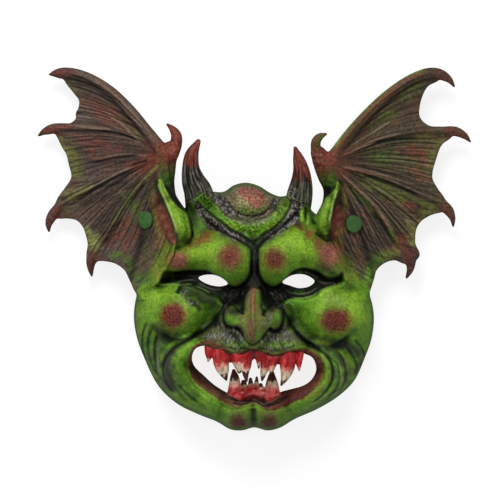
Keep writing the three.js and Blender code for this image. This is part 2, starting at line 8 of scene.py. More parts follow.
import bmesh
import bpy
import mathutils
import numpy as np
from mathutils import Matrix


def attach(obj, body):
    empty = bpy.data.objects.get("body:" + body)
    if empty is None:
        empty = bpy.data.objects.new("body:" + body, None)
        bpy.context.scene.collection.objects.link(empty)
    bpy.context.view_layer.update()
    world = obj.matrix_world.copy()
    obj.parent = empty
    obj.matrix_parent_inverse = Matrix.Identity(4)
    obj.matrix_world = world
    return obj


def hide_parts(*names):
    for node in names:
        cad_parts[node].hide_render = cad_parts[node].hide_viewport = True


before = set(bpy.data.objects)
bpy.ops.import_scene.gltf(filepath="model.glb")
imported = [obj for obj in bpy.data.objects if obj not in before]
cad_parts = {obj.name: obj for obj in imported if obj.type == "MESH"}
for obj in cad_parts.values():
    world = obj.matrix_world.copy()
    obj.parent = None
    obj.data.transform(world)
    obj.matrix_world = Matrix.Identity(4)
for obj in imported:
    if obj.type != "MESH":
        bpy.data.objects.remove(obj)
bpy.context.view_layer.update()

import openvdb

MM = 0.001
# Voxels of the skin and of the teeth, and the spacing of the sheets that hold relief and paint
STEP = 0.75
TOOTH_STEP = 0.45
MAP_STEP = 0.5
# A distance that counts as far from any surface
FAR = 9.0

# Driving sizes of the casting
WALL = 2.6
WING_SKIN = 3.0
FACE_CENTRE = (0, -45)
DOME_HEIGHT = 62
DOME_FULLNESS = 2.3
RIM_ROUNDING = 22
FORM_FALL = 0.9
# How much narrower the mask gets for each millimetre of height, and the height that keeps its size
TAPER = 0.00025
TAPER_LEVEL = 30

# The rim's outline, anticlockwise from the right temple
RIM = [
    (82, -15), (72, 5), (60, 20), (47, 30), (38, 40), (28, 43), (20, 42.4), (12, 45.5), (4, 50.5),
    (-6, 53.3), (-16, 51.5), (-25, 46), (-40, 46), (-52, 36), (-62, 22), (-72, 5), (-83, -15),
    (-93, -33), (-96.5, -52), (-94.5, -69), (-87.5, -89), (-76, -110.5), (-61.5, -123.8),
    (-44, -132.5), (-30, -138), (-19, -144.2), (-10, -145), (0, -142.6), (10, -145), (20, -143),
    (32, -136), (51, -127.5), (67.5, -117.3), (80, -105), (88, -88), (94, -70), (95.5, -52),
    (91, -33),
]

# Rounded forms of the face: blend, then a chain of x, y, radius and height at its crest
FORMS = [
    (6, [(-26, 22, 24, 58), (24, 22, 23, 58)]),
    (2.5, [(-17, -10, 17.5, 86), (-33, -2, 16.5, 77), (-49, -3, 12, 67), (-62, -8, 10, 58)]),
    (5, [(17, -10, 17, 86), (34, 0, 16.5, 78), (48, -2, 15.5, 68), (59, -6, 13, 59)]),
    (2.5, [(-6, 37, 16.5, 70), (-2, 37, 16.5, 70)]),
    (4, [(-45, 8, 12, 62), (-45, 26, 11, 56)]),
    (4, [(43, 12, 12, 63), (41, 28, 10, 56)]),
    (3, [(-73, -50, 21, 57), (-56, -48, 23, 71)]),
    (3, [(74, -54, 21, 57), (54, -52, 23, 72)]),
    (3, [(-52, -37, 11, 63), (-36, -41, 9, 63)]),
    (3, [(54, -38, 11, 63), (37, -42, 9, 63)]),
    (4, [(-28, -73, 17, 74), (0, -76, 18, 80), (28, -74, 17, 74)]),
    (2, [
        (0, -28, 5, 77), (-0.5, -44, 6, 89), (-1, -55, 8.5, 97), (-1.5, -63, 8, 101),
        (-1.8, -69, 5.5, 101),
    ]),
    (2.5, [(-18, -54, 6, 87), (-7, -59, 7.5, 97)]),
    (2.5, [(16.5, -54, 6, 87), (5, -59, 7.5, 97)]),
    (3, [(-50, -77, 9, 66), (-61, -92, 9.5, 60), (-54, -109, 9.5, 57), (-34, -123, 9.5, 60)]),
    (3, [(50, -81, 9, 66), (60, -95, 9.5, 60), (53, -111, 9.5, 57), (34, -123, 9.5, 60)]),
    (4, [(-16, -128, 14, 62), (16, -128, 14, 62)]),
]

# Where the temples swell out to meet the wings
TEMPLE_ROOTS = [
    (4, [(-62, 14, 12, 58), (-69, -6, 10, 53), (-77, -20, 9, 46), (-85, -32, 7, 36)]),
    (4, [(62, 12, 12, 45), (68, -6, 10, 42), (75, -20, 9, 38), (82, -33, 7, 33)]),
]

# Openings through the skin
LEFT_EYE = [
    (-21.5, -27.6), (-27, -22.5), (-34, -20.4), (-41, -20.9), (-45, -22.8), (-42, -25.6),
    (-35, -28.6), (-27, -29.5),
]
RIGHT_EYE = [
    (22.4, -26.4), (27.5, -22), (34, -20), (42, -21), (48, -25.6), (44.3, -29.3), (36, -31),
    (28, -28.8),
]
MOUTH = [
    (-50, -87), (-47.5, -80), (-41, -77.3), (-33, -79), (-25, -83.2), (-13, -85), (0, -80.5),
    (13, -85.5), (24, -84.5), (33, -81.5), (41, -84), (46.5, -87), (49.3, -96), (45.5, -104.3),
    (39, -109), (28.5, -112), (20, -114.5), (10, -122), (0, -118.8), (-10, -121.5), (-22, -114.8),
    (-32, -108.6), (-41, -100.5), (-48, -93.5),
]
HOLE_ROUNDING = 1.2

# Limbs: chains of x, y, z and radius from root to tip
HORNS = [
    [
        (-43, 32, 38, 12), (-44.8, 45, 52, 11.5), (-48.8, 54.5, 63, 9.5), (-51, 65, 73, 7),
        (-50, 76, 80, 5.4), (-45, 86.3, 84, 2),
    ],
    [
        (34, 32, 38, 11), (36.4, 45, 52, 10.2), (37.6, 54.5, 62, 8.4), (37.2, 64, 70, 6.4),
        (35, 73, 76, 4.4), (32.6, 81, 80, 1.4),
    ],
]
EARS = [
    [
        (-58, 5, 58, 3.5), (-56, 15, 64, 6.8), (-61, 28, 66, 6.8), (-68, 41, 60, 4.6),
        (-76.5, 56, 49, 1),
    ],
    [
        (57, 13, 55, 3.2), (54.6, 19, 60, 5.4), (56.8, 28, 61, 5.6), (62, 41, 56, 3.4),
        (66.5, 53, 47, 1),
    ],
]
ARMS = [
    [
        (-58, 22, 42, 8), (-68.3, 38, 44, 7), (-71, 52, 43.5, 7), (-70.5, 65, 42.5, 7.4),
        (-70, 75, 42, 8.4), (-66.5, 80.5, 44, 6.2),
    ],
    [
        (54, 20, 40, 8), (60.8, 36, 41.5, 6.8), (61.8, 49, 41, 7), (57.8, 60, 40.5, 7.8),
        (55.5, 68.6, 40.5, 8.5), (51.5, 76.4, 42, 6),
    ],
]
THUMBS = [
    [
        (-66.6, 76.6, 46, 6.3), (-63, 84, 48, 5), (-62.6, 91, 51, 4.3), (-65.5, 96, 52, 2.9),
        (-69.8, 100, 52, 0.9),
    ],
    [
        (52.6, 71.6, 43, 6.2), (49.2, 80, 45, 4.2), (49.4, 86.5, 48, 3.8), (52.6, 90.2, 49, 2.9),
        (57.4, 92.2, 49, 0.9),
    ],
]
# How softly each kind runs into the skin, and how deep an ear is for its width
HORN_BLEND = 3.0
EAR_BLEND = 2.0
ARM_BLEND = 2.5
EAR_DEPTH = 1.9

# Wings: the wrist, the height far out and its gain by the temple, the fingers as x, y and radius
# with the number of stations that carry the membrane, and the membrane's free edges
LEFT_WING = {
    "wrist": (-72, 77),
    "flat": 14,
    "rise": 46,
    "fingers": [
        (7, [
            (-72, 77, 5), (-86.5, 95, 4.6), (-100, 111.5, 4.4), (-115.5, 126.5, 4.2),
            (-132, 136.5, 4.2), (-145, 140.5, 4.4), (-155, 140.8, 4.4), (-160.5, 140.4, 2.6),
            (-164, 139.6, 0.8),
        ]),
        (7, [
            (-72, 77, 3.4), (-85, 85.5, 2.8), (-101, 92, 2.6), (-121, 96.8, 2.6), (-139, 98.2, 2.8),
            (-153, 97.8, 3.9), (-162, 96.2, 4), (-168.5, 93.8, 2.6), (-172.8, 90.8, 0.8),
        ]),
        (7, [
            (-72, 77, 3.4), (-86, 69.5, 2.8), (-105, 61.5, 2.6), (-124, 52, 2.6), (-141, 43, 2.8),
            (-155, 35, 4.2), (-161.6, 27, 4.2), (-164.6, 20, 2.8), (-164.4, 14.4, 0.9),
        ]),
        (7, [
            (-72, 77, 3.4), (-83, 64, 2.8), (-97, 46.5, 2.6), (-109, 30, 2.6), (-119, 13, 2.8),
            (-127.8, -1, 3.8), (-130.6, -9, 3.8), (-131, -15, 2.8), (-130.2, -21, 1),
        ]),
        (6, [(-72, 77, 3), (-69, 57, 2), (-62, 38, 2), (-60, 18, 2), (-67, -4, 2), (-84, -33, 2)]),
    ],
    "webs": [
        [
            (-151, 133), (-144.4, 124.6), (-140.4, 119), (-140.6, 114), (-143, 108.6),
            (-143, 104.6), (-147.4, 100.6), (-154, 98.9),
        ],
        [
            (-158.4, 90.5), (-154.4, 82.5), (-150.4, 75.4), (-148.6, 68), (-146.6, 57.5),
            (-151.4, 49.5), (-158, 40),
        ],
        [(-156.5, 24.5), (-149, 24.6), (-142, 22.9), (-137.4, 17.9), (-134.2, 8.5), (-132.4, -1)],
        [(-125.3, -6.8), (-119, -6.8), (-110, -9), (-101.8, -15), (-97, -24.2), (-91.6, -34)],
    ],
}
RIGHT_WING = {
    "wrist": (60, 70),
    "flat": 20,
    "rise": 24,
    "fingers": [
        (7, [
            (60, 70, 5), (74.5, 90, 4.6), (91, 108.5, 4.4), (108, 124, 4.4), (125, 135.4, 4.4),
            (139, 140.6, 4.5), (148.5, 139.8, 4.4), (155.7, 135.7, 2.8), (159.7, 130.4, 0.9),
        ]),
        (7, [
            (60, 70, 3.4), (75, 78, 2.8), (92, 85.5, 2.6), (111, 91, 2.6), (132, 94, 2.8),
            (149, 94.8, 3.8), (161, 94.2, 3.8), (168.5, 90.4, 2.6), (172.6, 86, 0.8),
        ]),
        (7, [
            (60, 70, 3.4), (75, 65.5, 2.8), (95, 60, 2.6), (114, 53, 2.6), (131, 45.5, 2.8),
            (147, 38.5, 4.2), (154.8, 31.5, 4.2), (158.3, 25, 2.6), (159, 18.6, 0.9),
        ]),
        (7, [
            (60, 70, 3.4), (72, 58.5, 2.8), (88, 43.5, 2.6), (101, 29, 2.6), (111, 14, 2.8),
            (121.4, -2, 3.9), (124.8, -9, 3.9), (124.6, -16, 2.9), (121.8, -22.4, 1.1),
        ]),
        (6, [(60, 70, 3), (62, 52, 2), (58, 34, 2), (56, 15, 2), (63, -4, 2), (80, -33, 2)]),
    ],
    "webs": [
        [(147, 135), (138.5, 130), (133, 118), (132.3, 106), (139, 99.2), (150, 97.5)],
        [(157, 89), (150, 83.5), (145.3, 72), (142.3, 57.5), (146.5, 48.8), (152, 41)],
        [(149.5, 29.5), (142, 27.6), (133.5, 22.5), (129.5, 16), (128.6, 6), (129.5, -4)],
        [(120, -8.8), (113, -6.1), (104, -7.9), (95.6, -14.8), (92.2, -25.2), (88, -34.5)],
    ],
}
WINGS = [LEFT_WING, RIGHT_WING]
TEMPLE_X = 64
WING_FADE = 30
FINGER_LIFT = -1.1
CLAW_BLEND = 1.6
# Height and width of the ridges over the fingers, and depth and width of the sag between them
FINGER_RIDGES = [(1.7, 2.2), (0.6, 5)]
WEB_SAG = (1.6, 9)

# Gums as x, y and radius
UPPER_GUM = [
    (-36.4, -79.6, 3), (-31, -81, 5.6), (-18, -85, 5.8), (-7, -85, 5.8), (0, -81.5, 5.6),
    (9, -86, 6.4), (20, -86, 6), (31, -84.5, 6), (36, -84, 3),
]
LOWER_GUM = [(-19, -118, 4.6), (-9, -117, 6.4), (0, -115.2, 6.8), (8, -117, 6.4), (18, -118.5, 4.6)]
# How far along each tooth the red of the gum ends and the dark tip starts
TOOTH_TONES = [
    (0.8, 0.92), (0.35, 0.75), (0.42, 0.92), (0.4, 0.6), (0.6, 0.8), (0.45, 0.82), (0.5, 0.82),
    (0.42, 0.84), (0.85, 0.93), (0.36, 0.55), (0.5, 0.76), (0.45, 0.66), (0.45, 0.66), (0.5, 0.8),
    (0.34, 0.55),
]
# How far gums and teeth lie behind the lips, how far each station of a tooth stands out, and blends
GUM_DEPTH = 6.5
TOOTH_DEPTH = 5.5
TOOTH_BOW = [0, 1.6, 2.2, 1.4]
GUM_BLEND = 2.0
TOOTH_BLEND = 1.0
# Teeth from root to tip as x, y and radius
UPPER_TEETH = [
    [(-36, -79, 4.2), (-36.2, -84, 3.4), (-37, -89.3, 0.9)],
    [(-27.4, -82, 7), (-26.4, -92, 6.1), (-24.8, -98, 4.4), (-22.6, -104.4, 1)],
    [(-12.5, -85, 6.8), (-12.2, -91, 5.6), (-12.2, -97.6, 1.8)],
    [(-5.6, -85, 4), (-6.4, -93, 3.8), (-7.2, -98, 3), (-6.4, -105.4, 1)],
    [(3, -84, 3), (3.2, -89, 2.2), (3.3, -95, 0.7)],
    [(9, -86, 5), (8.6, -93, 4), (7.2, -99, 2.8), (6, -104.6, 1)],
    [(14.4, -86, 5), (13.8, -93, 3.6), (13.4, -98.6, 1.4)],
    [(26.6, -84, 6.6), (26.2, -94, 6), (24.8, -101, 4), (21.4, -108.6, 0.9)],
    [(35.6, -82, 4.2), (35.4, -89, 3.1), (35.8, -96.8, 0.8)],
]
LOWER_TEETH = [
    [(-16, -117, 6), (-15.8, -109, 4.9), (-16, -102, 3.5), (-16.6, -97.2, 1.5)],
    [(-8.4, -114, 3.6), (-8.6, -106.5, 2.2)],
    [(-3, -113, 3.4), (-3.2, -104, 1.4)],
    [(1.4, -113, 3), (1.8, -102.6, 1)],
    [(5.4, -114, 3), (5, -108.6, 1.6)],
    [(14, -117, 6.4), (14, -110, 5.6), (13.8, -102.5, 3.4), (14, -97.4, 1.3)],
]


def centripetal(points, steps, spatial, closed=False):
    """A smooth line through stations. Columns after the spatial ones are blended along it."""
    p = np.array(points, float)
    if closed:
        p = np.vstack([p[-1:], p, p[:2]])
    else:
        p = np.vstack([2 * p[0] - p[1], p, 2 * p[-1] - p[-2]])
    t = np.linspace(0, 1, steps, endpoint=False)[:, None]
    line = []
    for a, b, c, d in zip(p[:-3], p[1:-2], p[2:-1], p[3:]):
        ab, bc, cd = (
            max(np.linalg.norm((v - u)[:spatial]) ** 0.5, 1e-6) for u, v in ((a, b), (b, c), (c, d))
        )
        start = ((b - a) / ab - (c - a) / (ab + bc) + (c - b) / bc) * bc
        stop = ((c - b) / bc - (d - b) / (bc + cd) + (d - c) / cd) * bc
        line.append(
            (2 * t**3 - 3 * t**2 + 1) * b + (t**3 - 2 * t**2 + t) * start
            + (3 * t**2 - 2 * t**3) * c + (t**3 - t**2) * stop
        )
    if not closed:
        line.append(p[-2:-1])
    return np.vstack(line)


def nearest(line, *where):
    """Distance from points to a line of stations, and the place on it in stations."""
    best = np.full(np.broadcast(*where).shape, np.inf, np.float32)
    place = np.zeros_like(best)
    for i in range(len(line) - 1):
        start = line[i, : len(where)]
        run = line[i + 1, : len(where)] - start
        length2 = max(float(run @ run), 1e-9)
        t = sum((w - s) * r for w, s, r in zip(where, start, run)) / length2
        t = np.clip(t, 0, 1)
        gap2 = sum((w - s - t * r) ** 2 for w, s, r in zip(where, start, run))
        closer = gap2 < best
        best = np.where(closer, gap2, best)
        place = np.where(closer, i + t, place)
    return np.sqrt(best), place


def beside(line, x, y):
    """Signed distance from a line, positive on its left, and the place on it in stations."""
    gap, place = nearest(line[:, :2], x, y)
    i = np.minimum(place.astype(int), len(line) - 2)
    run = line[i + 1, :2] - line[i, :2]
    turn = run[..., 0] * (y - line[i, 1]) - run[..., 1] * (x - line[i, 0])
    return np.where(turn < 0, -gap, gap), place


def column(line, place, k):
    """A station column at places along a line."""
    return np.interp(place, np.arange(len(line)), line[:, k]).astype(np.float32)


def inside(outline, x, y):
    """Which points lie inside a closed outline."""
    odd = np.zeros(x.shape, bool)
    for (ax, ay), (bx, by) in zip(outline, np.roll(outline, -1, 0)):
        if ay == by:
            continue
        crosses = (ay > y) != (by > y)
        odd ^= crosses & (x < ax + (y - ay) * (bx - ax) / (by - ay))
    return odd


def outline_distance(outline, x, y):
    """Signed distance from a closed outline, negative inside."""
    gap, _ = nearest(np.vstack([outline, outline[:1]]), x, y)
    return np.where(inside(outline, x, y), -gap, gap)


def smooth_max(a, b, band):
    share = np.clip(0.5 + 0.5 * (a - b) / band, 0, 1)
    return b + (a - b) * share + band * share * (1 - share)


def smooth_min(a, b, band):
    return -smooth_max(-a, -b, band)


def ramp(value, low, high):
    """0 below low, 1 above high, smooth between."""
    t = np.clip((value - low) / (high - low), 0, 1)
    return t * t * (3 - 2 * t)


def bell(gap, width):
    """1 at no distance, falling away over a width."""
    return np.exp(-((gap / width) ** 2))


def ends_fade(line, place, fade, start=0.0):
    """1 along a line, falling to 0 towards its ends."""
    share = place / (len(line) - 1)
    return ramp(share, start, fade) * ramp(1 - share, start, fade)


def between(a, b, c, d, u, v):
    """Values between four corners."""
    return a * (1 - u) * (1 - v) + b * u * (1 - v) + c * (1 - u) * v + d * u * v


class Sheet:
    """A grid of points seen from the front, for heights and colours."""

    def __init__(self, low, high):
        self.low = np.array(low, float)
        count = np.ceil((np.array(high) - low) / MAP_STEP).astype(int) + 1
        self.x, self.y = np.meshgrid(
            *(low[k] + MAP_STEP * np.arange(count[k]) for k in (0, 1)), indexing="ij"
        )
        self.shape = self.x.shape

    def window(self, line, reach):
        """The part of the grid within reach of a line."""
        low = (line[:, :2].min(0) - reach - self.low) / MAP_STEP
        high = (line[:, :2].max(0) + reach - self.low) / MAP_STEP
        lo = np.clip(np.floor(low).astype(int), 0, np.array(self.shape) - 1)
        hi = np.clip(np.ceil(high).astype(int) + 1, 1, self.shape)
        return slice(lo[0], hi[0]), slice(lo[1], hi[1])

    def sample(self, values, x, y):
        """Values between the grid's points."""
        fx = np.clip((x - self.low[0]) / MAP_STEP, 0, self.shape[0] - 1.001)
        fy = np.clip((y - self.low[1]) / MAP_STEP, 0, self.shape[1] - 1.001)
        i, j = fx.astype(int), fy.astype(int)
        u, v = fx - i, fy - j
        if values.ndim == 3:
            u, v = u[..., None], v[..., None]
        corners = (values[i, j], values[i + 1, j], values[i, j + 1], values[i + 1, j + 1])
        return between(*corners, u, v)


SHEET_LOW, SHEET_HIGH = (-178, -150), (178, 150)
front = Sheet(SHEET_LOW, SHEET_HIGH)


def value_noise(x, y, seed):
    """Random values at whole coordinates, blended between them."""
    grid = np.random.default_rng(seed).random((256, 256))
    fx, fy = x + 1000.0, y + 1000.0
    i, j = np.floor(fx).astype(int), np.floor(fy).astype(int)
    u, v = fx - i, fy - j
    u, v = u * u * (3 - 2 * u), v * v * (3 - 2 * v)
    i, j = i % 256, j % 256
    k, m = (i + 1) % 256, (j + 1) % 256
    return between(grid[i, j], grid[k, j], grid[i, m], grid[k, m], u, v)


def noise(x, y, size, seed, stretch=(1, 1)):
    """Smooth random values from 0 to 1 with features of a given size."""
    u, v = x / (size * stretch[0]), y / (size * stretch[1])
    first = value_noise(0.88 * u - 0.47 * v, 0.47 * u + 0.88 * v, seed)
    second = value_noise(0.96 * u + 0.28 * v, 0.96 * v - 0.28 * u, seed + 500)
    return np.clip(0.5 + 0.8 * (first + second - 1), 0, 1)


def cells(x, y, size, seed):
    """Distance to the nearest of scattered points, from 0 on one to about 1 between them."""
    jitter = np.random.default_rng(seed).random((128, 128, 2))
    u, v = x / size + 1000, y / size + 1000
    i, j = np.floor(u).astype(int), np.floor(v).astype(int)
    best = np.full(x.shape, 9.0)
    for di in (-1, 0, 1):
        for dj in (-1, 0, 1):
            spot = jitter[(i + di) % 128, (j + dj) % 128]
            best = np.minimum(best, np.hypot(u - i - di - spot[..., 0], v - j - dj - spot[..., 1]))
    return np.clip(best, 0, 1)


def wrinkles(x, y, size, seed, stretch=(1, 1)):
    """Thin creases between rounded folds, from 0 in a crease to 1 on a fold."""
    a = noise(x, y, size, seed, stretch)
    b = noise(x, y, size * 0.5, seed + 1, stretch)
    return np.minimum(1, 3 * np.abs(0.65 * a + 0.35 * b - 0.5) * 2)


def blur(values, size):
    """Softens a sheet's values over a distance."""
    reach = max(1, int(round(2.5 * size / MAP_STEP)))
    kernel = np.exp(-0.5 * (np.arange(-reach, reach + 1) * MAP_STEP / size) ** 2)
    kernel /= kernel.sum()
    out = values
    for axis in (0, 1):
        padded = np.pad(out, [(reach, reach) if k == axis else (0, 0) for k in (0, 1)], mode="edge")
        out = sum(
            w * np.take(padded, np.arange(i, i + values.shape[axis]), axis)
            for i, w in enumerate(kernel)
        )
    return out


def stroke(heights, width, rise, chain, fade=0.0):
    """Raises or sinks a sheet's heights along a line, fading towards its ends."""
    line = centripetal(chain, 6, 2)
    cut = front.window(line, width * 3)
    gap, place = nearest(line, front.x[cut], front.y[cut])
    ends = ends_fade(line, place, fade) if fade else 1
    heights[cut] += rise * ends * bell(gap, width)


def crease(heights, depth, steep, gentle, fade, chain):
    """Sinks heights beside a line: a rounded bank on its left and a gentle one on its right."""
    line = centripetal(chain, 6, 2)
    cut = front.window(line, max(steep, gentle) + 1)
    side, place = beside(line, front.x[cut], front.y[cut])
    bank = np.sqrt(1 - (1 - np.clip(side / steep, 0, 1)) ** 2)
    sunk = 1 - np.where(side > 0, bank, ramp(-side, 0, gentle))
    heights[cut] -= depth * ends_fade(line, place, fade) * sunk


def patch(chain, soft=2.0, wobble=1.0, size=4.0, seed=5):
    """The window and strength of a soft patch along a chain of x, y and radius."""
    line = centripetal(chain, 5, 2) if len(chain) > 1 else np.array([chain[0], chain[0]], float)
    cut = front.window(line, line[:, 2].max() + soft + wobble + 1)
    gap, place = nearest(line, front.x[cut], front.y[cut])
    edge = gap - column(line, place, 2)
    edge = edge + wobble * (2 * noise(front.x[cut], front.y[cut], size, seed) - 1)
    return cut, 1 - ramp(edge, -soft, soft)


# The face's relief
rim_line = centripetal(RIM, 16, 2, closed=True)
rim_across = rim_line - FACE_CENTRE
rim_angle = np.arctan2(rim_across[:, 1], rim_across[:, 0])
by_angle = np.argsort(rim_angle)
rim_angle, rim_far = rim_angle[by_angle], np.hypot(*rim_across.T)[by_angle]


def rim_share(x, y):
    """How far out a point is, from 0 at the face's centre to 1 at the rim."""
    across = x - FACE_CENTRE[0], y - FACE_CENTRE[1]
    return np.hypot(*across) / np.interp(
        np.arctan2(across[1], across[0]), rim_angle, rim_far, period=2 * math.pi
    )


# Sunk areas: how soft their edge is, the rise and the outline
SUNK = [
    (2.5, -4.5, [
        (-74, -18), (-60, -18), (-50, -17.5), (-38, -17.5), (-31, -21.5), (-25, -27), (-14, -30.5),
        (-8, -28), (-6, -34), (-9, -40), (-15, -45), (-22, -45), (-29, -40), (-40, -34.5),
        (-50, -29.5), (-62, -27), (-75, -26),
    ]),
    (2.5, -4.5, [
        (70, -19), (64, -23), (56, -21.5), (48, -16.5), (37, -16), (30, -19), (22, -27),
        (13, -30.5), (8, -28), (5.5, -34), (8, -42), (14, -44), (21, -44), (28, -39), (40, -39.5),
        (50, -36.5), (56, -31), (70, -26),
    ]),
    (2.0, -2.5, [(-9, -38), (-9.5, -49), (-13, -50.5), (-17, -46), (-15, -40)]),
    (2.0, -2.5, [(7, -38), (7.5, -45), (12, -46.5), (15, -43), (11, -37)]),
]
# Creases with a rounded bank on the left of the line and a gentle one on its right:
# depth, width of each bank, how much the ends fade, line
CREASES = [
    (5.0, 4.5, 4.0, 0.12, [
        (-71, -18.6), (-66, -18), (-60, -17.8), (-52, -17.2), (-45, -17.3), (-38, -17.2),
        (-34, -19), (-30, -21.5), (-26, -25), (-22, -27.7), (-18, -29.2), (-14, -29.8),
        (-10, -27.7), (-6, -23.5), (-3.8, -18), (-2.8, -10), (-2.8, -2), (-4, 1), (-10, 5),
        (-17, 9), (-25, 13), (-33, 18), (-39, 23), (-43, 30), (-46.5, 38),
    ]),
    (5.0, 4.5, 4.0, 0.05, [
        (37, 34), (33, 27.5), (28, 22.5), (22, 17.5), (15, 12), (8, 6.5), (4, 2), (2.8, -3),
        (2.9, -12), (4.2, -20), (8, -26.8), (13, -29.8), (18, -28.6), (22, -26), (26, -22),
        (30, -18), (34, -15.8), (40, -15.3), (46, -16.5), (52, -19.5), (56, -22.5), (62, -24),
        (71, -22),
    ]),
    (3.2, 2.2, 3.0, 0.03, [
        (-47, 41), (-42, 35), (-36, 30), (-30, 25), (-24, 20.5), (-18, 16), (-10, 12), (-6, 9.5),
        (-1, 6.8), (5, 11), (10, 14), (16, 18), (21, 23), (25, 29), (28, 36), (28, 41),
    ]),
    (1.6, 1.8, 4.0, 0.03, [
        (22, 43), (20, 37), (16, 30), (12, 26), (6, 22.5), (0, 20.5), (-6, 20), (-12, 22),
        (-20, 25), (-24, 28), (-30, 34.5), (-36, 40), (-41, 45),
    ]),
    (2.6, 1.0, 2.0, 0.04, [(-40.5, 46), (-44, 43.4), (-47.5, 41), (-51.5, 39.2), (-56, 37.6)]),
    (2.4, 1.6, 3.0, 0.08, [(-56, 37.6), (-53.5, 31), (-51.5, 24), (-50, 17), (-49, 9)]),
    (2.2, 4.0, 3.0, 0.08, [
        (-26, 45), (-20, 37), (-16.5, 32), (-11, 28.5), (-4, 27), (3, 28), (9, 31), (13, 36),
        (16, 43),
    ]),
    (4.6, 3.4, 4.0, 0.07, [
        (-21, -45), (-23.8, -50), (-24.2, -56), (-22, -60.3), (-17, -61.8), (-13, -62.3),
        (-10, -66), (-8, -70), (-5.5, -73.6), (-2, -75.4), (2.5, -73.6), (6, -70.2), (8.3, -67),
        (10, -64.2), (12.5, -62.8), (15, -64.6), (19, -63.4), (21.8, -58.5), (22.4, -52),
        (19.5, -45.5),
    ]),
    (4.0, 3.2, 4.0, 0.1, [(-3.5, -29), (-6.3, -36), (-8, -42), (-8.3, -48), (-9.5, -53)]),
    (4.0, 3.2, 4.0, 0.1, [(5.5, -54), (6.8, -49.5), (5, -46), (5.6, -40), (5, -34), (3, -29)]),
    (2.2, 3.0, 3.0, 0.1, [(-8, -53), (-12, -51), (-15.5, -47), (-19, -45.3), (-24, -48.5)]),
    (2.2, 3.0, 3.0, 0.1, [(22, -48), (18.5, -45), (14, -45.4), (10, -48.5), (6, -51.5)]),
    (2.9, 8.0, 9.0, 0.1, [
        (-76, -65), (-67, -70.5), (-60, -72), (-52, -70.5), (-44, -66.5), (-38, -61), (-32, -54.5),
        (-28, -49), (-25, -44), (-22, -37),
    ]),
    (2.9, 8.0, 9.0, 0.1, [
        (20, -38), (22, -44), (25, -50), (29, -58), (34, -65), (40, -71), (47, -75.5), (55, -77.8),
        (63, -76), (71, -71.5), (77, -67.5),
    ]),
    (4.0, 5.0, 5.0, 0.08, [
        (-40, -65), (-50, -71.5), (-58, -75.5), (-64, -79), (-69, -85), (-72, -92), (-72.5, -100),
        (-69, -108), (-62, -116),
    ]),
    (4.0, 5.0, 4.0, 0.08, [
        (44, -124), (54, -116), (60, -108), (62, -100), (61, -92), (56, -84.5), (48, -79.5),
        (38, -73), (30, -64),
    ]),
    (0.6, 2.4, 2.4, 0.03, [
        (54, -88), (51, -84), (46, -79.5), (39, -76.8), (32, -78), (24, -80.5), (16, -82),
        (8, -80.5), (0, -78), (-8, -79.5), (-16, -80.3), (-24, -77.5), (-31, -73.5), (-38, -71.5),
        (-46, -73.5), (-52, -79), (-55, -86),
    ]),
    (0.6, 3.0, 3.0, 0.03, [
        (-55, -86), (-54.5, -97), (-48, -108), (-38, -116.5), (-28, -122.5), (-18, -127),
        (-10, -126.5), (-4, -124.5), (0, -124), (5, -126.5), (13, -128.5), (22, -125.5),
        (30, -121.5), (40, -116.5), (48, -111), (54.5, -103), (55.5, -95), (54, -88),
    ]),
]
JAW_GROOVES = [
    [(-85, -56), (-89, -66), (-89.5, -78), (-86, -90)],
    [(-80, -60), (-84.5, -70), (-85, -82), (-80.5, -95), (-76, -104)],
    [(-76, -65), (-79.5, -74), (-80, -86), (-77, -99), (-71, -110)],
    [(64, -79), (70, -87), (73, -97), (71, -108), (64, -117)],
    [(70, -75), (78, -84), (82, -94), (79, -104)],
    [(58, -84), (66, -92), (68, -102), (65, -112), (56, -120)],
    [(79, -71), (86, -80), (89, -88)],
    [(-62, -107), (-54, -116), (-43, -124)],
]
LIP_OUTLINE = [
    (-53.6, -88), (-52.4, -98), (-46, -107), (-36.5, -114.8), (-27.4, -121), (-18, -125.8),
    (-10, -126), (-4, -124), (0, -123.4), (5, -125.8), (13, -128), (22, -126), (31, -123),
    (41, -117), (49, -110.6), (54.6, -102.6), (55.4, -94), (53.6, -88), (50.4, -83.2), (45, -79.6),
    (39, -78.2), (32, -79.6), (24, -81.4), (16, -83.2), (8, -81.4), (0, -79), (-8, -80.8),
    (-16, -82), (-24, -78.6), (-31, -74.4), (-38, -72.2), (-45, -74.6), (-50.4, -79),
]
LIP_FOLDS = [
    [
        (-24, -117.5), (-14, -121), (-5, -121), (0, -118.8), (5, -121.5), (12, -124), (20, -120),
        (30, -117),
    ],
    [(-20, -121.5), (-10, -124), (0, -121.2), (8, -125.5), (17, -123.5), (26, -119)],
]
LID_RIDGES = [
    [(-64, -26.5), (-55, -24.8), (-47, -24)],
    [(-78, -29), (-66, -27.6), (-56, -28.2), (-47.5, -27.2)],
    [(-48, -28.8), (-42, -31.5), (-34, -35.6)],
    [(-46, -26), (-40, -29.5), (-32, -32.3), (-25, -31.8)],
    [(49.5, -25), (57, -27.3), (64, -25.8), (69, -23.5)],
    [(52, -29), (45, -33.8), (37, -35.6), (29, -34.6), (23, -31.5)],
    [(54, -31.5), (46, -37), (37, -38.8), (27, -38)],
    [(34, -18.2), (41, -18), (47, -20.5), (51, -24)],
]
CORNER_RIDGES = [
    [(-21, -43), (-16, -36)],
    [(-24, -46), (-19, -38)],
    [(-17, -41), (-12, -33)],
    [(-27, -42), (-22, -35)],
    [(12, -33), (15, -38), (18, -43)],
    [(16, -33), (19, -39), (24, -47)],
    [(20, -34), (22, -39), (27, -44)],
    [(24, -36), (27, -41), (33, -47)],
]
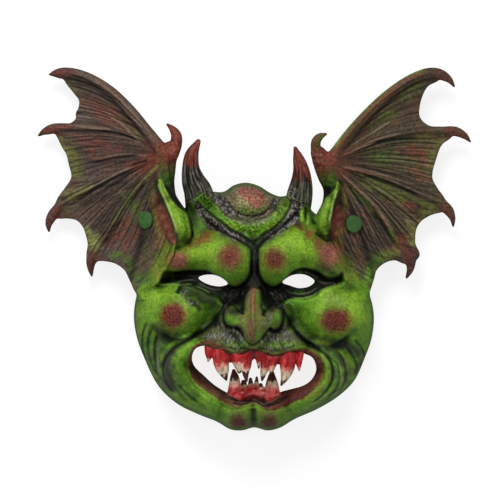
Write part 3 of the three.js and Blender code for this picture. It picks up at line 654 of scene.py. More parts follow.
# Soft strokes: width, rise, how much the ends fade, lines
STROKES = [
    (1.5, -1.8, 0.2, JAW_GROOVES),
    (1.0, -1.3, 0.15, LIP_FOLDS),
    (0.8, 1.1, 0.2, LID_RIDGES),
    (0.8, 0.6, 0.2, CORNER_RIDGES),
    (2.0, -2.0, 0.2, [[(-59, -29), (-62.5, -36)]]),
    (1.7, -4.5, 0.1, [[(-15.5, -62.5), (-11, -65)], [(11.2, -63), (13.8, -65)]]),
    (2.0, -0.9, 0.2, [[(-13, -58), (-10, -52)], [(11, -59), (9, -52)]]),
    (1.0, 0.9, 0.2, [[(-1.5, -31), (-1.5, -47), (-1, -64)]]),
    (2.8, -2.6, 0.0, [[(-1, -126), (-1, -146)]]),
    (2.2, 3.0, 0.0, [[(38.2, 24), (38.2, 33.5)], [(43.3, 22), (43.7, 34.5)]]),
    (3.0, -2.0, 0.1, [[(-28, 46), (-25, 36), (-19, 28)]]),
]
# How far a form reaches from its line, and how much the forms are softened before the creases
FORM_REACH = 50
FORM_SOFTNESS = 1.8


def face_forms():
    """The height of the face over the whole sheet."""
    x, y = front.x, front.y
    height = DOME_HEIGHT * np.sqrt(np.clip(1 - rim_share(x, y) ** DOME_FULLNESS, 0, 1))
    for blend, chain in FORMS + TEMPLE_ROOTS:
        line = centripetal(chain, 6, 2)
        cut = front.window(line, FORM_REACH)
        gap, place = nearest(line, x[cut], y[cut])
        crest = column(line, place, 3) - FORM_FALL * gap**2 / column(line, place, 2)
        height[cut] = smooth_max(height[cut], crest, blend)
    height = blur(height, FORM_SOFTNESS)
    for soft, rise, outline in SUNK:
        line = centripetal(outline, 6, 2, closed=True)
        cut = front.window(line, soft * 2)
        height[cut] += rise * (1 - ramp(outline_distance(line, x[cut], y[cut]), -soft, soft))
    for depth, steep, gentle, fade, chain in CREASES:
        crease(height, depth, steep, gentle, fade, chain)
    for width, rise, fade, lines in STROKES:
        for line in lines:
            stroke(height, width, rise, line, fade)
    return np.maximum(height, 0)


heights = face_forms()
# The face's body: points round it, rings, how evenly the rings lie, and its depth below the rim
SIDES = 900
RINGS = 260
RING_EVENNESS = 0.45
BELOW = 9.0


def face_body():
    """The face as a closed body of rings, drawn down below the rim."""
    angle = 2 * math.pi * np.arange(SIDES) / SIDES
    out = np.arange(1, RINGS + 1) / RINGS
    share = RING_EVENNESS * out + (1 - RING_EVENNESS) * np.sin(out * math.pi / 2)
    far = np.interp(angle, rim_angle, rim_far, period=2 * math.pi)
    x = FACE_CENTRE[0] + share[:, None] * far * np.cos(angle)
    y = FACE_CENTRE[1] + share[:, None] * far * np.sin(angle)
    z = front.sample(heights, x, y) * np.sqrt(1 - share[:, None] ** RIM_ROUNDING)
    x, y = np.vstack([x, x[-1:]]), np.vstack([y, y[-1:]])
    z = np.vstack([z, np.full((1, SIDES), -BELOW)])
    rows = np.stack([x, y, z], -1).reshape(-1, 3)
    top = [*FACE_CENTRE, front.sample(heights, *np.array(FACE_CENTRE, float))]
    bottom = [*FACE_CENTRE, -BELOW]
    points = np.vstack([rows, [top], [bottom]])
    here = np.arange(SIDES)
    after = (here + 1) % SIDES
    quads = np.concatenate([
        np.stack([here, SIDES + here, SIDES + after, after], -1) + r * SIDES for r in range(RINGS)
    ])
    cap = np.stack([np.full(SIDES, len(rows)), here, after], -1)
    last = RINGS * SIDES
    base = np.stack([last + here, np.full(SIDES, len(rows) + 1), last + after], -1)
    return points, np.vstack([cap, base]), quads


class Block:
    """A box of voxels that holds the distance from the mask's surface."""

    def __init__(self, low, high, step):
        self.step = step
        self.corner = np.floor(np.array(low) / step).astype(int)
        self.size = np.ceil(np.array(high) / step).astype(int) - self.corner + 1
        self.field = np.full(self.size, FAR, np.float32)

    def axes(self, low, high):
        """The grid's coordinates over a box, and its slices."""
        lo = np.floor(np.array(low) / self.step).astype(int) - self.corner
        hi = np.ceil(np.array(high) / self.step).astype(int) + 1 - self.corner
        lo, hi = np.maximum(lo, 0), np.minimum(hi, self.size)
        span = [
            ((np.arange(lo[k], hi[k]) + self.corner[k]) * self.step).astype(np.float32)
            for k in range(3)
        ]
        return np.ix_(*span), tuple(slice(lo[k], hi[k]) for k in range(3))

    def join(self, field, cut, band):
        """Joins a body to the skin, running softly into it over a band."""
        self.field[cut] = smooth_min(self.field[cut], field.astype(np.float32), band)

    def limb(self, chain, band, depth=1.0):
        """Joins a limb: a chain of x, y, z and radius, deeper than it is wide by depth."""
        line = centripetal(chain, 5, 3)
        margin = line[:, 3].max() * depth + 4
        (x, y, z), cut = self.axes(line[:, :3].min(0) - margin, line[:, :3].max(0) + margin)
        if depth == 1:
            gap, place = nearest(line, x, y, z)
        else:
            across, place = nearest(line, x, y)
            gap = np.hypot(across, (z - column(line, place, 2)) / depth)
        self.join(gap - column(line, place, 3), cut, band)

    def surface(self):
        """The skin of the field, as points and outward faces."""
        grid = openvdb.FloatGrid(float(3 * self.step))
        grid.copyFromArray(np.clip(self.field, -3 * self.step, 3 * self.step))
        grid.transform = openvdb.createLinearTransform(self.step)
        places, _, faces = grid.convertToPolygons(isovalue=0.0, adaptivity=0.0)
        return places + (self.corner * self.step).astype(np.float32), faces.astype(np.int64)


def wing_fall(x):
    return np.exp(-np.maximum(0, np.abs(x) - TEMPLE_X) / WING_FADE)


def wing_level(wing, x):
    return wing["flat"] + wing["rise"] * wing_fall(x)


def wing_lines(wing):
    """The membrane's outline and the smooth lines of its fingers."""
    fingers = [
        centripetal([s[:2] for s in chain[:bones]], 8, 2) for bones, chain in wing["fingers"]
    ]
    line = [fingers[0]]
    for i, web in enumerate(wing["webs"]):
        line.append(centripetal([fingers[i][-1], *web, fingers[i + 1][-1]], 8, 2)[1:])
    line.append(fingers[-1][::-1][1:-1])
    return np.vstack(line), fingers


def wing_maps(wing):
    """Maps of a wing: distance from its outline, finger ridges and the sag between them."""
    outline, fingers = wing_lines(wing)
    cut = front.window(outline, 8)
    x, y = front.x[cut], front.y[cut]
    edge = np.full(front.shape, FAR)
    edge[cut] = outline_distance(outline, x, y)
    ridge, closest = np.zeros(x.shape), np.full(x.shape, 99.0)
    for finger in fingers:
        gap, place = nearest(finger, x, y)
        out = np.clip(place / 8, 0, 1)
        ridge = np.maximum(ridge, out * sum(rise * bell(gap, wide) for rise, wide in FINGER_RIDGES))
        closest = np.minimum(closest, gap)
    lift, sag = np.zeros(front.shape), np.zeros(front.shape)
    lift[cut] = ridge
    sag[cut] = WEB_SAG[0] * (1 - bell(closest, WEB_SAG[1]))
    return edge, lift, sag


def add_wing(block, wing):
    """Joins a wing's membrane and the free claws at the ends of its fingers."""
    outline, _ = wing_lines(wing)
    (x, y, z), cut = block.axes([*(outline.min(0) - 6), 5], [*(outline.max(0) + 6), 66])
    level = wing_level(wing, x)
    slope = np.sqrt(1 + (wing["rise"] / WING_FADE * wing_fall(x)) ** 2)
    across, up = np.broadcast_arrays(x[..., 0], y[..., 0])
    edge, lift, sag = (front.sample(m, across, up)[..., None] for m in wing["maps"])
    above = (z - level - lift + sag) / slope
    below = (level - sag - WING_SKIN - z) / slope
    skin = smooth_max(smooth_max(above, below, 1.2), edge - 0.1, 1.6)
    # The membrane runs softly into the temple, and more so low down and behind the arm
    by_arm = 6 * ramp(y, 44, 62) * (1 - ramp(np.abs(x), 84, 96))
    block.join(skin, cut, 3.5 + 9.5 * ramp(-y, -8, 6) + by_arm)
    for i, (bones, chain) in enumerate(wing["fingers"]):
        if len(chain) == bones:
            continue
        shown = chain if i == 0 else chain[bones - 3:]
        stations = [[x, y, wing_level(wing, x) + FINGER_LIFT, r] for x, y, r in shown]
        if i:
            stations[0][3] = 1.0
            stations[1][3] *= 0.8
        block.limb(stations, CLAW_BLEND)


def cut_hole(block, outline):
    """Cuts through the skin along Z, with a rounded edge."""
    line = centripetal(outline, 10, 2, closed=True)
    (x, y, _), cut = block.axes([*(line.min(0) - 4), -FAR], [*(line.max(0) + 4), 200])
    across, up = np.broadcast_arrays(x[..., 0], y[..., 0])
    hole = outline_distance(line, across, up)[..., None].astype(np.float32)
    block.field[cut] = smooth_max(block.field[cut], -hole, HOLE_ROUNDING)


def mask_block():
    """The whole casting without its gums and teeth, and the face's own distances."""
    low, high = (*SHEET_LOW, -5), (*SHEET_HIGH, 108)
    block = Block(low, high, STEP)
    points, triangles, quads = face_body()
    level_set = openvdb.FloatGrid.createLevelSetFromPolygons(
        points.astype(np.float32),
        triangles=triangles.astype(np.uint32),
        quads=quads.astype(np.uint32),
        transform=openvdb.createLinearTransform(STEP),
        halfWidth=5.0,
    )
    outer = np.empty(block.size, np.float32)
    level_set.copyToArray(outer, ijk=tuple(int(v) for v in block.corner))
    block.field = outer.copy()
    for horn in HORNS:
        block.limb(horn, HORN_BLEND)
    for ear in EARS:
        block.limb(ear, EAR_BLEND, EAR_DEPTH)
    for arm in ARMS + THUMBS:
        block.limb(arm, ARM_BLEND)
    for wing in WINGS:
        wing["maps"] = wing_maps(wing)
        add_wing(block, wing)
    block.field = np.maximum(block.field, -(outer + WALL))
    for outline in (LEFT_EYE, RIGHT_EYE, MOUTH):
        cut_hole(block, outline)
    (_, _, z), _ = block.axes(low, high)
    block.field = np.maximum(block.field, -z)
    return block, outer


def tooth_block():
    """Gums and teeth, set back behind the lips."""
    block = Block((-50, -130, 35), (50, -68, 95), TOOTH_STEP)

    def lip_level(x, y):
        return float(front.sample(heights, np.array(float(x)), np.array(float(y))))

    for gum in (UPPER_GUM, LOWER_GUM):
        block.limb([(x, y, lip_level(x, y) - GUM_DEPTH, r) for x, y, r in gum], GUM_BLEND)
    for tooth in UPPER_TEETH + LOWER_TEETH:
        root = lip_level(*tooth[0][:2]) - TOOTH_DEPTH
        chain = [(x, y, root + bow, r) for bow, (x, y, r) in zip(TOOTH_BOW, tooth)]
        block.limb(chain, TOOTH_BLEND)
    return block


block, outer = mask_block()
places, faces = block.surface()
teeth_places, teeth_faces = tooth_block().surface()


def vertex_normals(points, faces):
    """The direction of the skin at each point, from the faces round it."""
    across = points[faces[:, 2]] - points[faces[:, 0]]
    along = points[faces[:, 3]] - points[faces[:, 1]]
    flat = np.cross(across, along)
    total = np.stack([
        np.bincount(faces.ravel(), np.repeat(flat[:, k], 4), len(points)) for k in range(3)
    ], -1)
    return total / np.maximum(np.linalg.norm(total, axis=1, keepdims=True), 1e-9)


# Paint. Colours are as they look in plain light, from 0 to 255.
LIME = (132, 172, 44)
GREEN = (98, 142, 30)
LEAF = (76, 122, 22)
DEEP_GREEN = (58, 92, 18)
DARK_GREEN = (34, 50, 14)
PALE_GREEN = (150, 176, 96)
SAGE_HIGHLIGHT = (166, 172, 126)
MOSS = (80, 98, 38)
OLIVE = (92, 98, 42)
DARK_OLIVE = (62, 62, 32)
KHAKI = (112, 112, 58)
OCHRE = (124, 108, 40)
BLACK = (9, 9, 7)
CHARCOAL = (44, 42, 36)
GREY = (98, 95, 88)
PALE_GREY = (140, 134, 128)
ASH = (162, 154, 148)
BROWN = (92, 60, 40)
UMBER = (60, 50, 32)
TAN = (124, 104, 88)
SAND = (150, 132, 100)
MAUVE = (86, 68, 60)
DARK_MAUVE = (52, 43, 37)
BRICK = (121, 57, 43)
TERRACOTTA = (160, 96, 82)
SPOT_RED = (116, 44, 30)
DARK_RED = (88, 35, 23)
DRIED_RED = (66, 20, 14)
LIP = (80, 34, 25)
CONCHA = (104, 50, 36)
CLAW = (96, 54, 46)
CLAW_TIP_AND_SHADE = (62, 42, 36)
INSIDE = (186, 166, 128)
INSIDE_SPOT = (168, 146, 108)

# Sheets: the colour, the fine relief, wash and painted shade in the wings' creases, painted
# highlights beside them, and how pitted it is
paint = np.zeros((*front.shape, 3))
fine = np.zeros(front.shape)
crease_wash_and_shade = np.zeros(front.shape)
crease_ridge_highlight = np.zeros(front.shape)
grit = np.full(front.shape, 0.25)
X, Y = front.x, front.y
WHOLE = (slice(None), slice(None))
grain_fine = noise(X, Y, 1.5, 11)
grain_mid = noise(X, Y, 4, 12)
grain_wide = noise(X, Y, 12, 13)
sponge = 0.5 * grain_mid + 0.3 * grain_wide + 0.2 * grain_fine


def linear(colour):
    """A colour's light values."""
    c = np.array(colour) / 255
    return np.where(c <= 0.04045, c / 12.92, ((c + 0.055) / 1.055) ** 2.4)


def lay(colour, strength, cut=WHOLE):
    """Lays a coat of colour on the sheet."""
    share = np.clip(strength, 0, 1)[..., None]
    paint[cut] = paint[cut] * (1 - share) + linear(colour) * share


def coats(cut, cover, *layers):
    """Lays coats of colour one after another under one cover."""
    for colour, strength in layers:
        lay(colour, cover * strength, cut)


def grain(cut, size, seed, stretch=(1, 1)):
    """Smooth random values over a window of the sheet."""
    return noise(X[cut], Y[cut], size, seed, stretch)


def roughen(cut, cover):
    """Pits the skin under a cover."""
    grit[cut] = np.maximum(grit[cut], cover)


def smooth_over(cut, cover):
    """Takes the fine relief and the crease wash and painted shade away under a cover."""
    for sheet in (fine, crease_wash_and_shade):
        sheet[cut] *= 1 - cover


def dab(colour, chain, soft=2.0, wobble=1.0, amount=1.0, size=4.0):
    """A soft spot or band of colour."""
    cut, strength = patch(chain, soft, wobble, size)
    lay(colour, strength * amount, cut)


def airbrush(colour, width, amount, lines, fade=0.1):
    """Soft sprayed lines."""
    for chain in lines:
        line = centripetal(chain, 6, 2)
        cut = front.window(line, width * 3)
        gap, place = nearest(line, X[cut], Y[cut])
        lay(colour, amount * ends_fade(line, place, fade, -0.001) * bell(gap, width), cut)


def shape(outline, soft=0.8, wobble=0.0):
    """The window and cover of an outlined shape."""
    line = centripetal(outline, 6, 2, closed=True)
    cut = front.window(line, soft + wobble + 1)
    gap = outline_distance(line, X[cut], Y[cut]) + wobble * (2 * grain(cut, 3.0, 7) - 1)
    return cut, 1 - ramp(gap, -soft, soft)


def mask_out(colour, outline, amount=1.0, soft=0.8, wobble=0.0):
    """A shape of colour with a definite edge."""
    cut, cover = shape(outline, soft, wobble)
    lay(colour, cover * amount, cut)
    return cut, cover


# Face. Patches: colour, softness, wobble of the edge, amount, and a chain of x, y and radius
FACE_GREENS = [
    (LIME, 7, 3, 0.9, [(-52, -4, 5), (-34, -1, 7), (-24, 4, 5)]),
    (LIME, 5, 3, 0.6, [(-12, 0, 3), (-8, -8, 3)]),
    (LIME, 7, 3, 0.9, [(16, 3, 5), (30, 8, 8), (42, 0, 7), (50, -8, 4)]),
    (LIME, 7, 3, 0.8, [(-86, -40, 5), (-76, -35, 5), (-68, -33, 2)]),
    (LIME, 7, 3, 0.7, [(-90, -50, 3), (-91, -62, 3)]),
    (LIME, 7, 3, 0.8, [(58, -38, 6), (72, -38, 7), (82, -48, 6), (90, -58, 3)]),
    # Painted highlights in pale green on the tops of the cheeks
    (PALE_GREEN, 6, 3, 0.5, [(60, -38, 4), (68, -42, 4)]),
    (PALE_GREEN, 4, 3, 0.4, [(-61, -40, 2.4), (-58.5, -46, 2)]),
    (LIME, 4, 3, 0.3, [(-60, -92, 2), (-57, -104, 3), (-50, -112, 2)]),
    (LEAF, 6, 3, 0.7, [(32, -46, 5), (42, -48, 4)]),
    (LEAF, 6, 2, 0.5, [(-14, -22, 5), (-15, -27, 3), (-28, -18, 2)]),
    (LEAF, 6, 2, 0.5, [(13, -23, 5), (14, -27, 4), (28, -15, 3)]),
    (DEEP_GREEN, 5, 3, 0.3, [(-52, -61, 5), (-40, -53, 4), (-32, -47, 3)]),
    (LEAF, 5, 3, 0.7, [(34, -56, 5), (44, -68, 5)]),
    (BROWN, 5, 3, 0.5, [(36, -68, 1), (46, -73, 2), (57, -75, 1)]),
    (DEEP_GREEN, 4, 2, 0.8, [(-50, 34, 4), (-47, 22, 5), (-44, 14, 3)]),
    (LEAF, 5, 3, 0.5, [(-38, 16, 4), (-44, 10, 3)]),
    (OCHRE, 4, 3, 0.75, [(-54, 1, 2), (-42, 8, 4), (-32, 13, 4)]),
    (OCHRE, 4, 3, 0.8, [(33, 24, 2), (42, 14, 3), (52, 5, 3)]),
    (BRICK, 4, 3, 0.4, [(-46, 5, 2), (-36, 12, 3)]),
    (BRICK, 3, 3, 0.5, [(42, 16, 1), (50, 8, 2.5)]),
    (OCHRE, 5, 4, 0.5, [(-74, 8, 3), (-72, -6, 4), (-78, -20, 4)]),
    (OCHRE, 5, 4, 0.5, [(66, 8, 2), (68, -8, 3), (76, -22, 3)]),
    (GREY, 4, 3, 0.5, [(54, -14, 3), (62, -16, 4)]),
    (OLIVE, 5, 3, 0.6, [(-24, -128, 3), (-10, -131, 5)]),
    (OLIVE, 5, 3, 0.6, [(8, -131, 5), (24, -126, 3)]),
    (OCHRE, 4, 2, 0.6, [(54, -90, 1.5), (56, -102, 2), (49, -113, 2), (38, -120, 2)]),
    (DEEP_GREEN, 5, 3, 0.6, [(-62, -110, 3), (-50, -119, 3), (-42, -125, 2)]),
    (DARK_GREEN, 4, 2, 0.95, [(-58, -32, 3), (-46, -36, 5), (-34, -42, 4), (-28, -45, 2)]),
    (LEAF, 3, 2, 0.15, [(-56, -34, 2), (-50, -34, 1.6)]),
    (CHARCOAL, 2.5, 2, 0.95, [(-54, -38, 2), (-50, -42.5, 3), (-44, -46.5, 2)]),
    (LEAF, 5, 3, 0.55, [
        (-58, -84, 2), (-59, -96, 3), (-54, -108, 3), (-44, -117, 3), (-34, -123, 2),
    ]),
    (DEEP_GREEN, 5, 3, 0.75, [(-60, -90, 3), (-56, -106, 4), (-46, -116, 3)]),
    (DARK_GREEN, 5, 3, 0.7, [(-56, -35, 2), (-48, -36, 3), (-38, -38, 4)]),
    (GREEN, 4, 3, 0.6, [(84, -70, 3), (88, -64, 2)]),
    (DEEP_GREEN, 4, 3, 0.5, [(-47, -116, 3), (-38, -122, 2)]),
    (OCHRE, 4, 3, 0.8, [(-49, 4, 3), (-40, 10, 3), (-33, 17, 2)]),
    (BRICK, 3, 2.5, 0.4, [(-45, 6, 1.6), (-36, 13, 1.6)]),
    (OCHRE, 3, 2.5, 0.85, [(33, 22, 2), (42, 14, 2.4), (53, 3, 2.4)]),
    (BRICK, 2.5, 2, 0.5, [(36, 19, 1), (44, 11, 1.2), (52, 4, 1.2)]),
    (KHAKI, 3, 2, 0.5, [(-10, -131, 2), (-16, -130, 2)]),
    (KHAKI, 3, 2, 0.5, [(10, -132, 2), (18, -130, 2)]),
    (CHARCOAL, 4, 3, 0.45, [(-13, 2, 1.5), (-25, 10, 2.5), (-34, 16, 2.5), (-42, 24, 2.5)]),
    (CHARCOAL, 4, 3, 0.45, [(11, 5, 1.5), (21, 12, 2.5), (30, 20, 2.5), (34, 26, 2)]),
    (CHARCOAL, 3, 3, 0.4, [(-50, 30, 2), (-52, 18, 2)]),
    (BROWN, 4, 2, 0.55, [(-44, -70, 2), (-36, -69, 2.5), (-30, -72, 2)]),
]
# The same in charcoal, without the colour
CHARCOAL_PATCHES = [
    (4, 2, 0.85, [(-81, -61, 1.5), (-76, -65, 3), (-70, -71, 3)]),
    (4, 2, 0.95, [
        (-64, -79, 2), (-69.5, -87, 5), (-70, -98, 5), (-66, -109, 3.4), (-59, -116, 1.4),
    ]),
    (3, 2, 0.75, [(-76, -72, 2), (-79, -84, 2.4), (-77, -98, 2.4), (-71, -110, 1.6)]),
    (3, 2, 0.6, [(-84, -66, 1), (-86, -78, 1.6), (-83, -92, 1.6)]),
    (4, 2, 0.9, [(60, -80, 2), (72, -76, 4), (78, -80, 4), (84, -88, 3), (80, -98, 3)]),
    (3, 2, 0.85, [(66, -84, 2.4), (72, -94, 3), (73, -104, 3), (66, -114, 2)]),
    (3, 2, 0.8, [(58, -84, 2), (63, -94, 2.4), (63, -104, 2.2), (57, -112, 1)]),
    (4, 2, 0.5, [(66, -114, 2), (56, -121, 2), (46, -126, 1)]),
]
# Sprayed lines: colour, width, amount, lines
STRIPES = [
    (LEAF, 1.6, 0.8, [
        [(-80, -69), (-83.5, -77), (-84, -86)],
        [(-87, -60), (-90, -70), (-89, -80)],
        [(-73, -75), (-76.5, -84), (-77, -94), (-73.5, -106)],
    ]),
    (PALE_GREY, 0.8, 0.5, [[(-74, -72), (-76.8, -82), (-77.3, -94), (-73, -107), (-64, -117)]]),
    (LIME, 1.8, 0.9, [[(73, -83), (77, -90), (79.5, -96)]]),
    (LEAF, 1.6, 0.85, [
        [(61, -86), (66, -95), (67.5, -105), (63, -114)],
        [(80, -70), (86, -77), (89, -86)],
    ]),
    (PALE_GREEN, 1.1, 0.5, [
        [(66, -90), (68.5, -99), (67, -109)],
        [(71, -100), (69.5, -110), (62, -119)],
        [(60, -114), (50, -121), (42, -126)],
    ]),
]
MOUSTACHE = [
    [
        (-26, -55), (-20, -62), (-13, -63.5), (-9, -69), (-6, -74), (-2, -78), (-9, -80),
        (-17, -81), (-25, -78), (-32, -73.5), (-40, -71), (-36, -64),
    ],
    [
        (22, -58), (16, -64), (9, -68), (4, -74), (3, -78), (9, -81), (17, -82.5), (26, -80.5),
        (33, -78), (38, -76), (32, -68), (27, -62),
    ],
]
# Round spots: x, y, radius, squash, middle, halo, how rough
SPOTS = [
    (-19.5, -6, 10.5, 1.0, BRICK, BROWN, 0.2), (16, -8, 8.4, 1.05, DARK_RED, BRICK, 0.3),
    (-61, -9, 7.6, 0.9, TERRACOTTA, BRICK, 0.1), (59.5, -4, 8.6, 1.2, TERRACOTTA, BRICK, 0.25),
    (-65, -53, 9.6, 1.02, SPOT_RED, BRICK, 0.9), (65, -57, 12.4, 0.78, SPOT_RED, BRICK, 0.7),
    (-13, -139, 6.4, 0.9, DARK_RED, BROWN, 0.3), (12, -139, 6.4, 0.9, DARK_RED, BROWN, 0.3),
]
# The cleft of the brow, then above and below the eyes
BLACK_SHAPES = [
    [
        (-2.4, -8), (-4, -20), (-7.4, -26), (-7, -34), (-3, -32.5), (3, -32.5), (6.4, -34),
        (7.4, -26), (4.2, -20), (2.4, -8),
    ],
    [
        (-65, -19.6), (-60, -18.4), (-50, -17.6), (-40, -17.4), (-34, -19.4), (-30, -22),
        (-26, -25.3), (-22, -28), (-14, -30.4), (-8, -27), (-4.6, -24), (-4, -32), (-8, -38),
        (-14, -43), (-22, -47), (-26, -43), (-29, -37), (-38, -32.5), (-46, -28.6), (-57, -26.6),
        (-63, -24.6),
    ],
    [
        (66, -24.5), (60, -24.8), (54, -21.2), (46, -17), (38, -15.9), (33, -17), (29, -20),
        (22, -27), (14, -30.4), (8, -27.5), (4.6, -24), (4, -31), (7, -38), (14, -42), (20, -48),
        (24, -48), (23, -42), (30, -39.5), (40, -39), (50, -35.5), (55, -31), (66, -28),
    ],
]
# Width, amount, lines
BLACK_LINES = [
    (3.8, 1.0, [[(0, 8), (0, -10), (0, -29)]]),
    (2.8, 1.0, [[(-0.5, 3), (-10, 8.5), (-22, 15), (-33, 22.5), (-42, 32), (-47, 40)]]),
    (2.8, 1.0, [[(0.5, 3), (8, 9), (17, 15.5), (24, 22), (30, 29), (33, 37)]]),
    (3.6, 1.0, [
        [(-20, -38), (-25, -47), (-31, -56.5), (-38, -63), (-46, -68)],
        [(20, -42), (25, -52), (31, -62), (38, -70.5), (47, -77), (56, -81)],
    ]),
    (2.0, 0.9, [[(-44, -67), (-54, -73.5), (-62, -78), (-68, -85)]]),
    # Painted shade along the lower edges of the cheeks
    (2.4, 0.4, [
        [(-82, -60), (-77, -66.5), (-70, -72), (-60, -74)],
        [(54, -80), (65, -78.5), (74, -74)],
    ]),
    # Painted shade along the lower edges of the cheeks
    (2.2, 0.5, [
        [(-84, -58), (-76, -67), (-66, -71.5), (-56, -71.5), (-47, -68)],
        [(48, -75.5), (57, -77.5), (66, -75.5), (75, -69.5), (83, -62)],
    ]),
    (0.9, 0.9, LIP_FOLDS),
    (2.0, 1.0, [
        [(-17, -62.6), (-12, -64.5), (-9, -69)], [(10.5, -64), (13.5, -65.5), (20, -64.5)],
    ]),
    (1.6, 0.8, [
        [(-25, -50), (-25.2, -57), (-22, -61.5), (-16, -63)],
        [(23.3, -50), (23, -58), (20, -64)],
    ]),
    (3.4, 0.95, [[(-7.5, -33), (-10.5, -40), (-11.5, -46), (-11, -51)]]),
    (3.0, 0.95, [[(7.4, -42), (9.6, -46), (13, -45.5), (19, -46)]]),
    (2.6, 0.8, [[(6.8, -32), (8, -39), (9, -45)]]),
    (3.0, 0.6, [[(-21, -51), (-16, -49)], [(12, -49), (16, -47)]]),
    (4.2, 0.9, [[(-1, -126), (-1, -145)]]),
    (1.6, 0.8, [[(-5, -75), (-2, -77), (3, -75)]]),
    (1.3, 0.8, [[(-57.5, 36), (-53, 27), (-50, 18), (-50.5, 9), (-57, 3)]]),
    (2.0, 0.8, [[(-57, -26), (-59, -30), (-62, -35.5)]]),
    (1.2, 0.7, [[(-60, -29), (-50, -29.5), (-40, -33.5), (-32, -37)]]),
    (4.0, 0.5, [[(62, -24), (67, -22)]]),
    # A painted shadow where the outer corner of the left brow meets the wing
    (4.6, 0.75, [[(-66, -23), (-71, -22.6), (-74.5, -22)]]),
    (1.4, 0.9, [[(48, 14), (54, 9), (60, 6)], [(46, 24), (49, 20)]]),
]
CORNER_SPECKS = [
    [(-24, -45, 1), (-20, -40, 2.4), (-16, -34, 1)],
    [(15, -34, 1), (18, -39, 2.6), (22, -46, 1.6)],
    [(-60, -36, 0.6), (-55, -33, 1)],
    [(-54, -39, 1.4), (-49, -43.5, 2), (-45, -46, 0.8)],
    [(64, -27, 1), (58, -30, 1.4)],
    [(-9, -41, 0.6), (-6, -33, 0.6)],
]
# Painted highlights, with the nose ridge's own pinkish-brown among them: colour, width, amount,
# lines
GLINTS = [
    (GREY, 0.6, 0.3, LID_RIDGES),
    (GREY, 0.7, 0.12, CORNER_RIDGES),
    (LEAF, 1.6, 0.7, [
        [(35, -18.6), (39, -18.4), (43, -19.4)], [(31, -34), (36, -34.6), (41, -34)],
    ]),
    (PALE_GREEN, 0.7, 0.7, [[(-54, 29), (-51.8, 22), (-50, 14)]]),
    (PALE_GREEN, 0.6, 0.35, [
        [(-77, -28.3), (-68, -27.3), (-62, -27.8)],
        [(-46, -28.6), (-40, -32), (-35, -35)],
    ]),
    (BRICK, 2.3, 0.6, [[(-1.2, -29.5), (-1.3, -34), (-1.2, -44), (-1, -54)]]),
    (TERRACOTTA, 0.6, 0.2, [[(-1.3, -35), (-1.4, -41), (-1.2, -48)]]),
]
NOSE = [
    (-23, -49), (-19, -46), (-14, -48), (-9, -51), (-7.6, -46), (-7, -40), (-5.6, -35),
    (-3.4, -31.8), (-1.4, -30), (1.2, -30), (3.2, -31.8), (4.6, -35), (5, -40), (4.6, -46),
    (6.6, -49.4), (10, -48.5), (14, -45.6), (19, -45.5), (22, -51), (21.4, -58), (18.6, -62.6),
    (15, -63.6), (12.5, -61.6), (10, -63.2), (8, -66.4), (5.6, -69.6), (2.5, -73), (-2, -74.8),
    (-5.5, -73), (-8, -69.4), (-10, -65.2), (-13, -61.4), (-17, -60.8), (-22, -59.6), (-24, -55),
]
NOSE_TONES = [
    (KHAKI, 2.5, 1.5, 0.7, [(-5, -42, 1.6), (-6, -50, 2), (-9, -56, 2.4)]),
    (LEAF, 2, 1.2, 0.85, [(3.4, -35, 1.2), (4, -42, 1.2), (5, -48, 0.8)]),
    (KHAKI, 2, 1.2, 0.7, [(5, -50, 1.6), (4, -56, 1.6)]),
    (LEAF, 3, 1.5, 1.0, [(-21, -56, 3.4), (-15, -57.6, 2.6)]),
    (GREEN, 2, 1, 0.7, [(-20, -56, 1.4), (-15, -58, 1)]),
    (DARK_GREEN, 3, 1.5, 0.9, [(-20, -49.5, 2.4), (-14, -50.5, 2)]),
    (DARK_GREEN, 3, 1.5, 0.95, [(14, -48, 2.4), (9, -50.5, 2.4), (10, -54, 1)]),
    (LEAF, 2.5, 1.5, 1.0, [(19, -50, 1.4), (18.6, -54, 3), (17, -59.4, 2.4)]),
    (GREY, 2, 1.2, 0.75, [(13, -52, 0.8), (9.4, -57, 1.4), (6.8, -62, 1.4)]),
    (LEAF, 2, 1.2, 1.0, [(6, -65, 1), (4.4, -68.6, 1.8), (2.6, -72, 1.4)]),
    (BROWN, 2, 1.5, 0.85, [(-1.4, -54, 0.8), (-2.6, -60, 2), (-3.2, -67, 3), (-2.6, -72.6, 1.6)]),
    (DARK_RED, 1.6, 1, 0.55, [(-0.8, -54, 0.3), (-1.2, -62, 0.8), (-2.4, -69, 0.8)]),
    (DARK_GREEN, 2.5, 1, 0.35, [(0, -63, 1), (-1, -71, 2)]),
    (DARK_GREEN, 2.5, 1, 0.5, [(-3.6, -33, 1), (3, -33, 0.8)]),
]


def paint_moustache(outline):
    """Bristly grey beside the nose."""
    cut, cover = mask_out(GREY, outline, 0.95, 2.0, 1.5)
    x, y = X[cut], Y[cut]
    hair = noise(x + 0.25 * (y + 70) * np.sign(x), y, 0.85, 34, (1, 2.4))
    coats(
        cut, cover,
        (GREEN, ramp(-y, 71, 76) * ramp(grain(cut, 4, 33), 0.2, 0.5) * 0.85),
        (BLACK, ramp(hair, 0.55, 0.85) * 0.6),
        (PALE_GREY, ramp(1 - hair, 0.62, 0.9) * 0.4),
        (OLIVE, ramp(grain_mid[cut], 0.4, 0.7) * 0.6),
    )
    fine[cut] += cover * 0.7 * (0.5 - hair)
    roughen(cut, cover * 0.7)


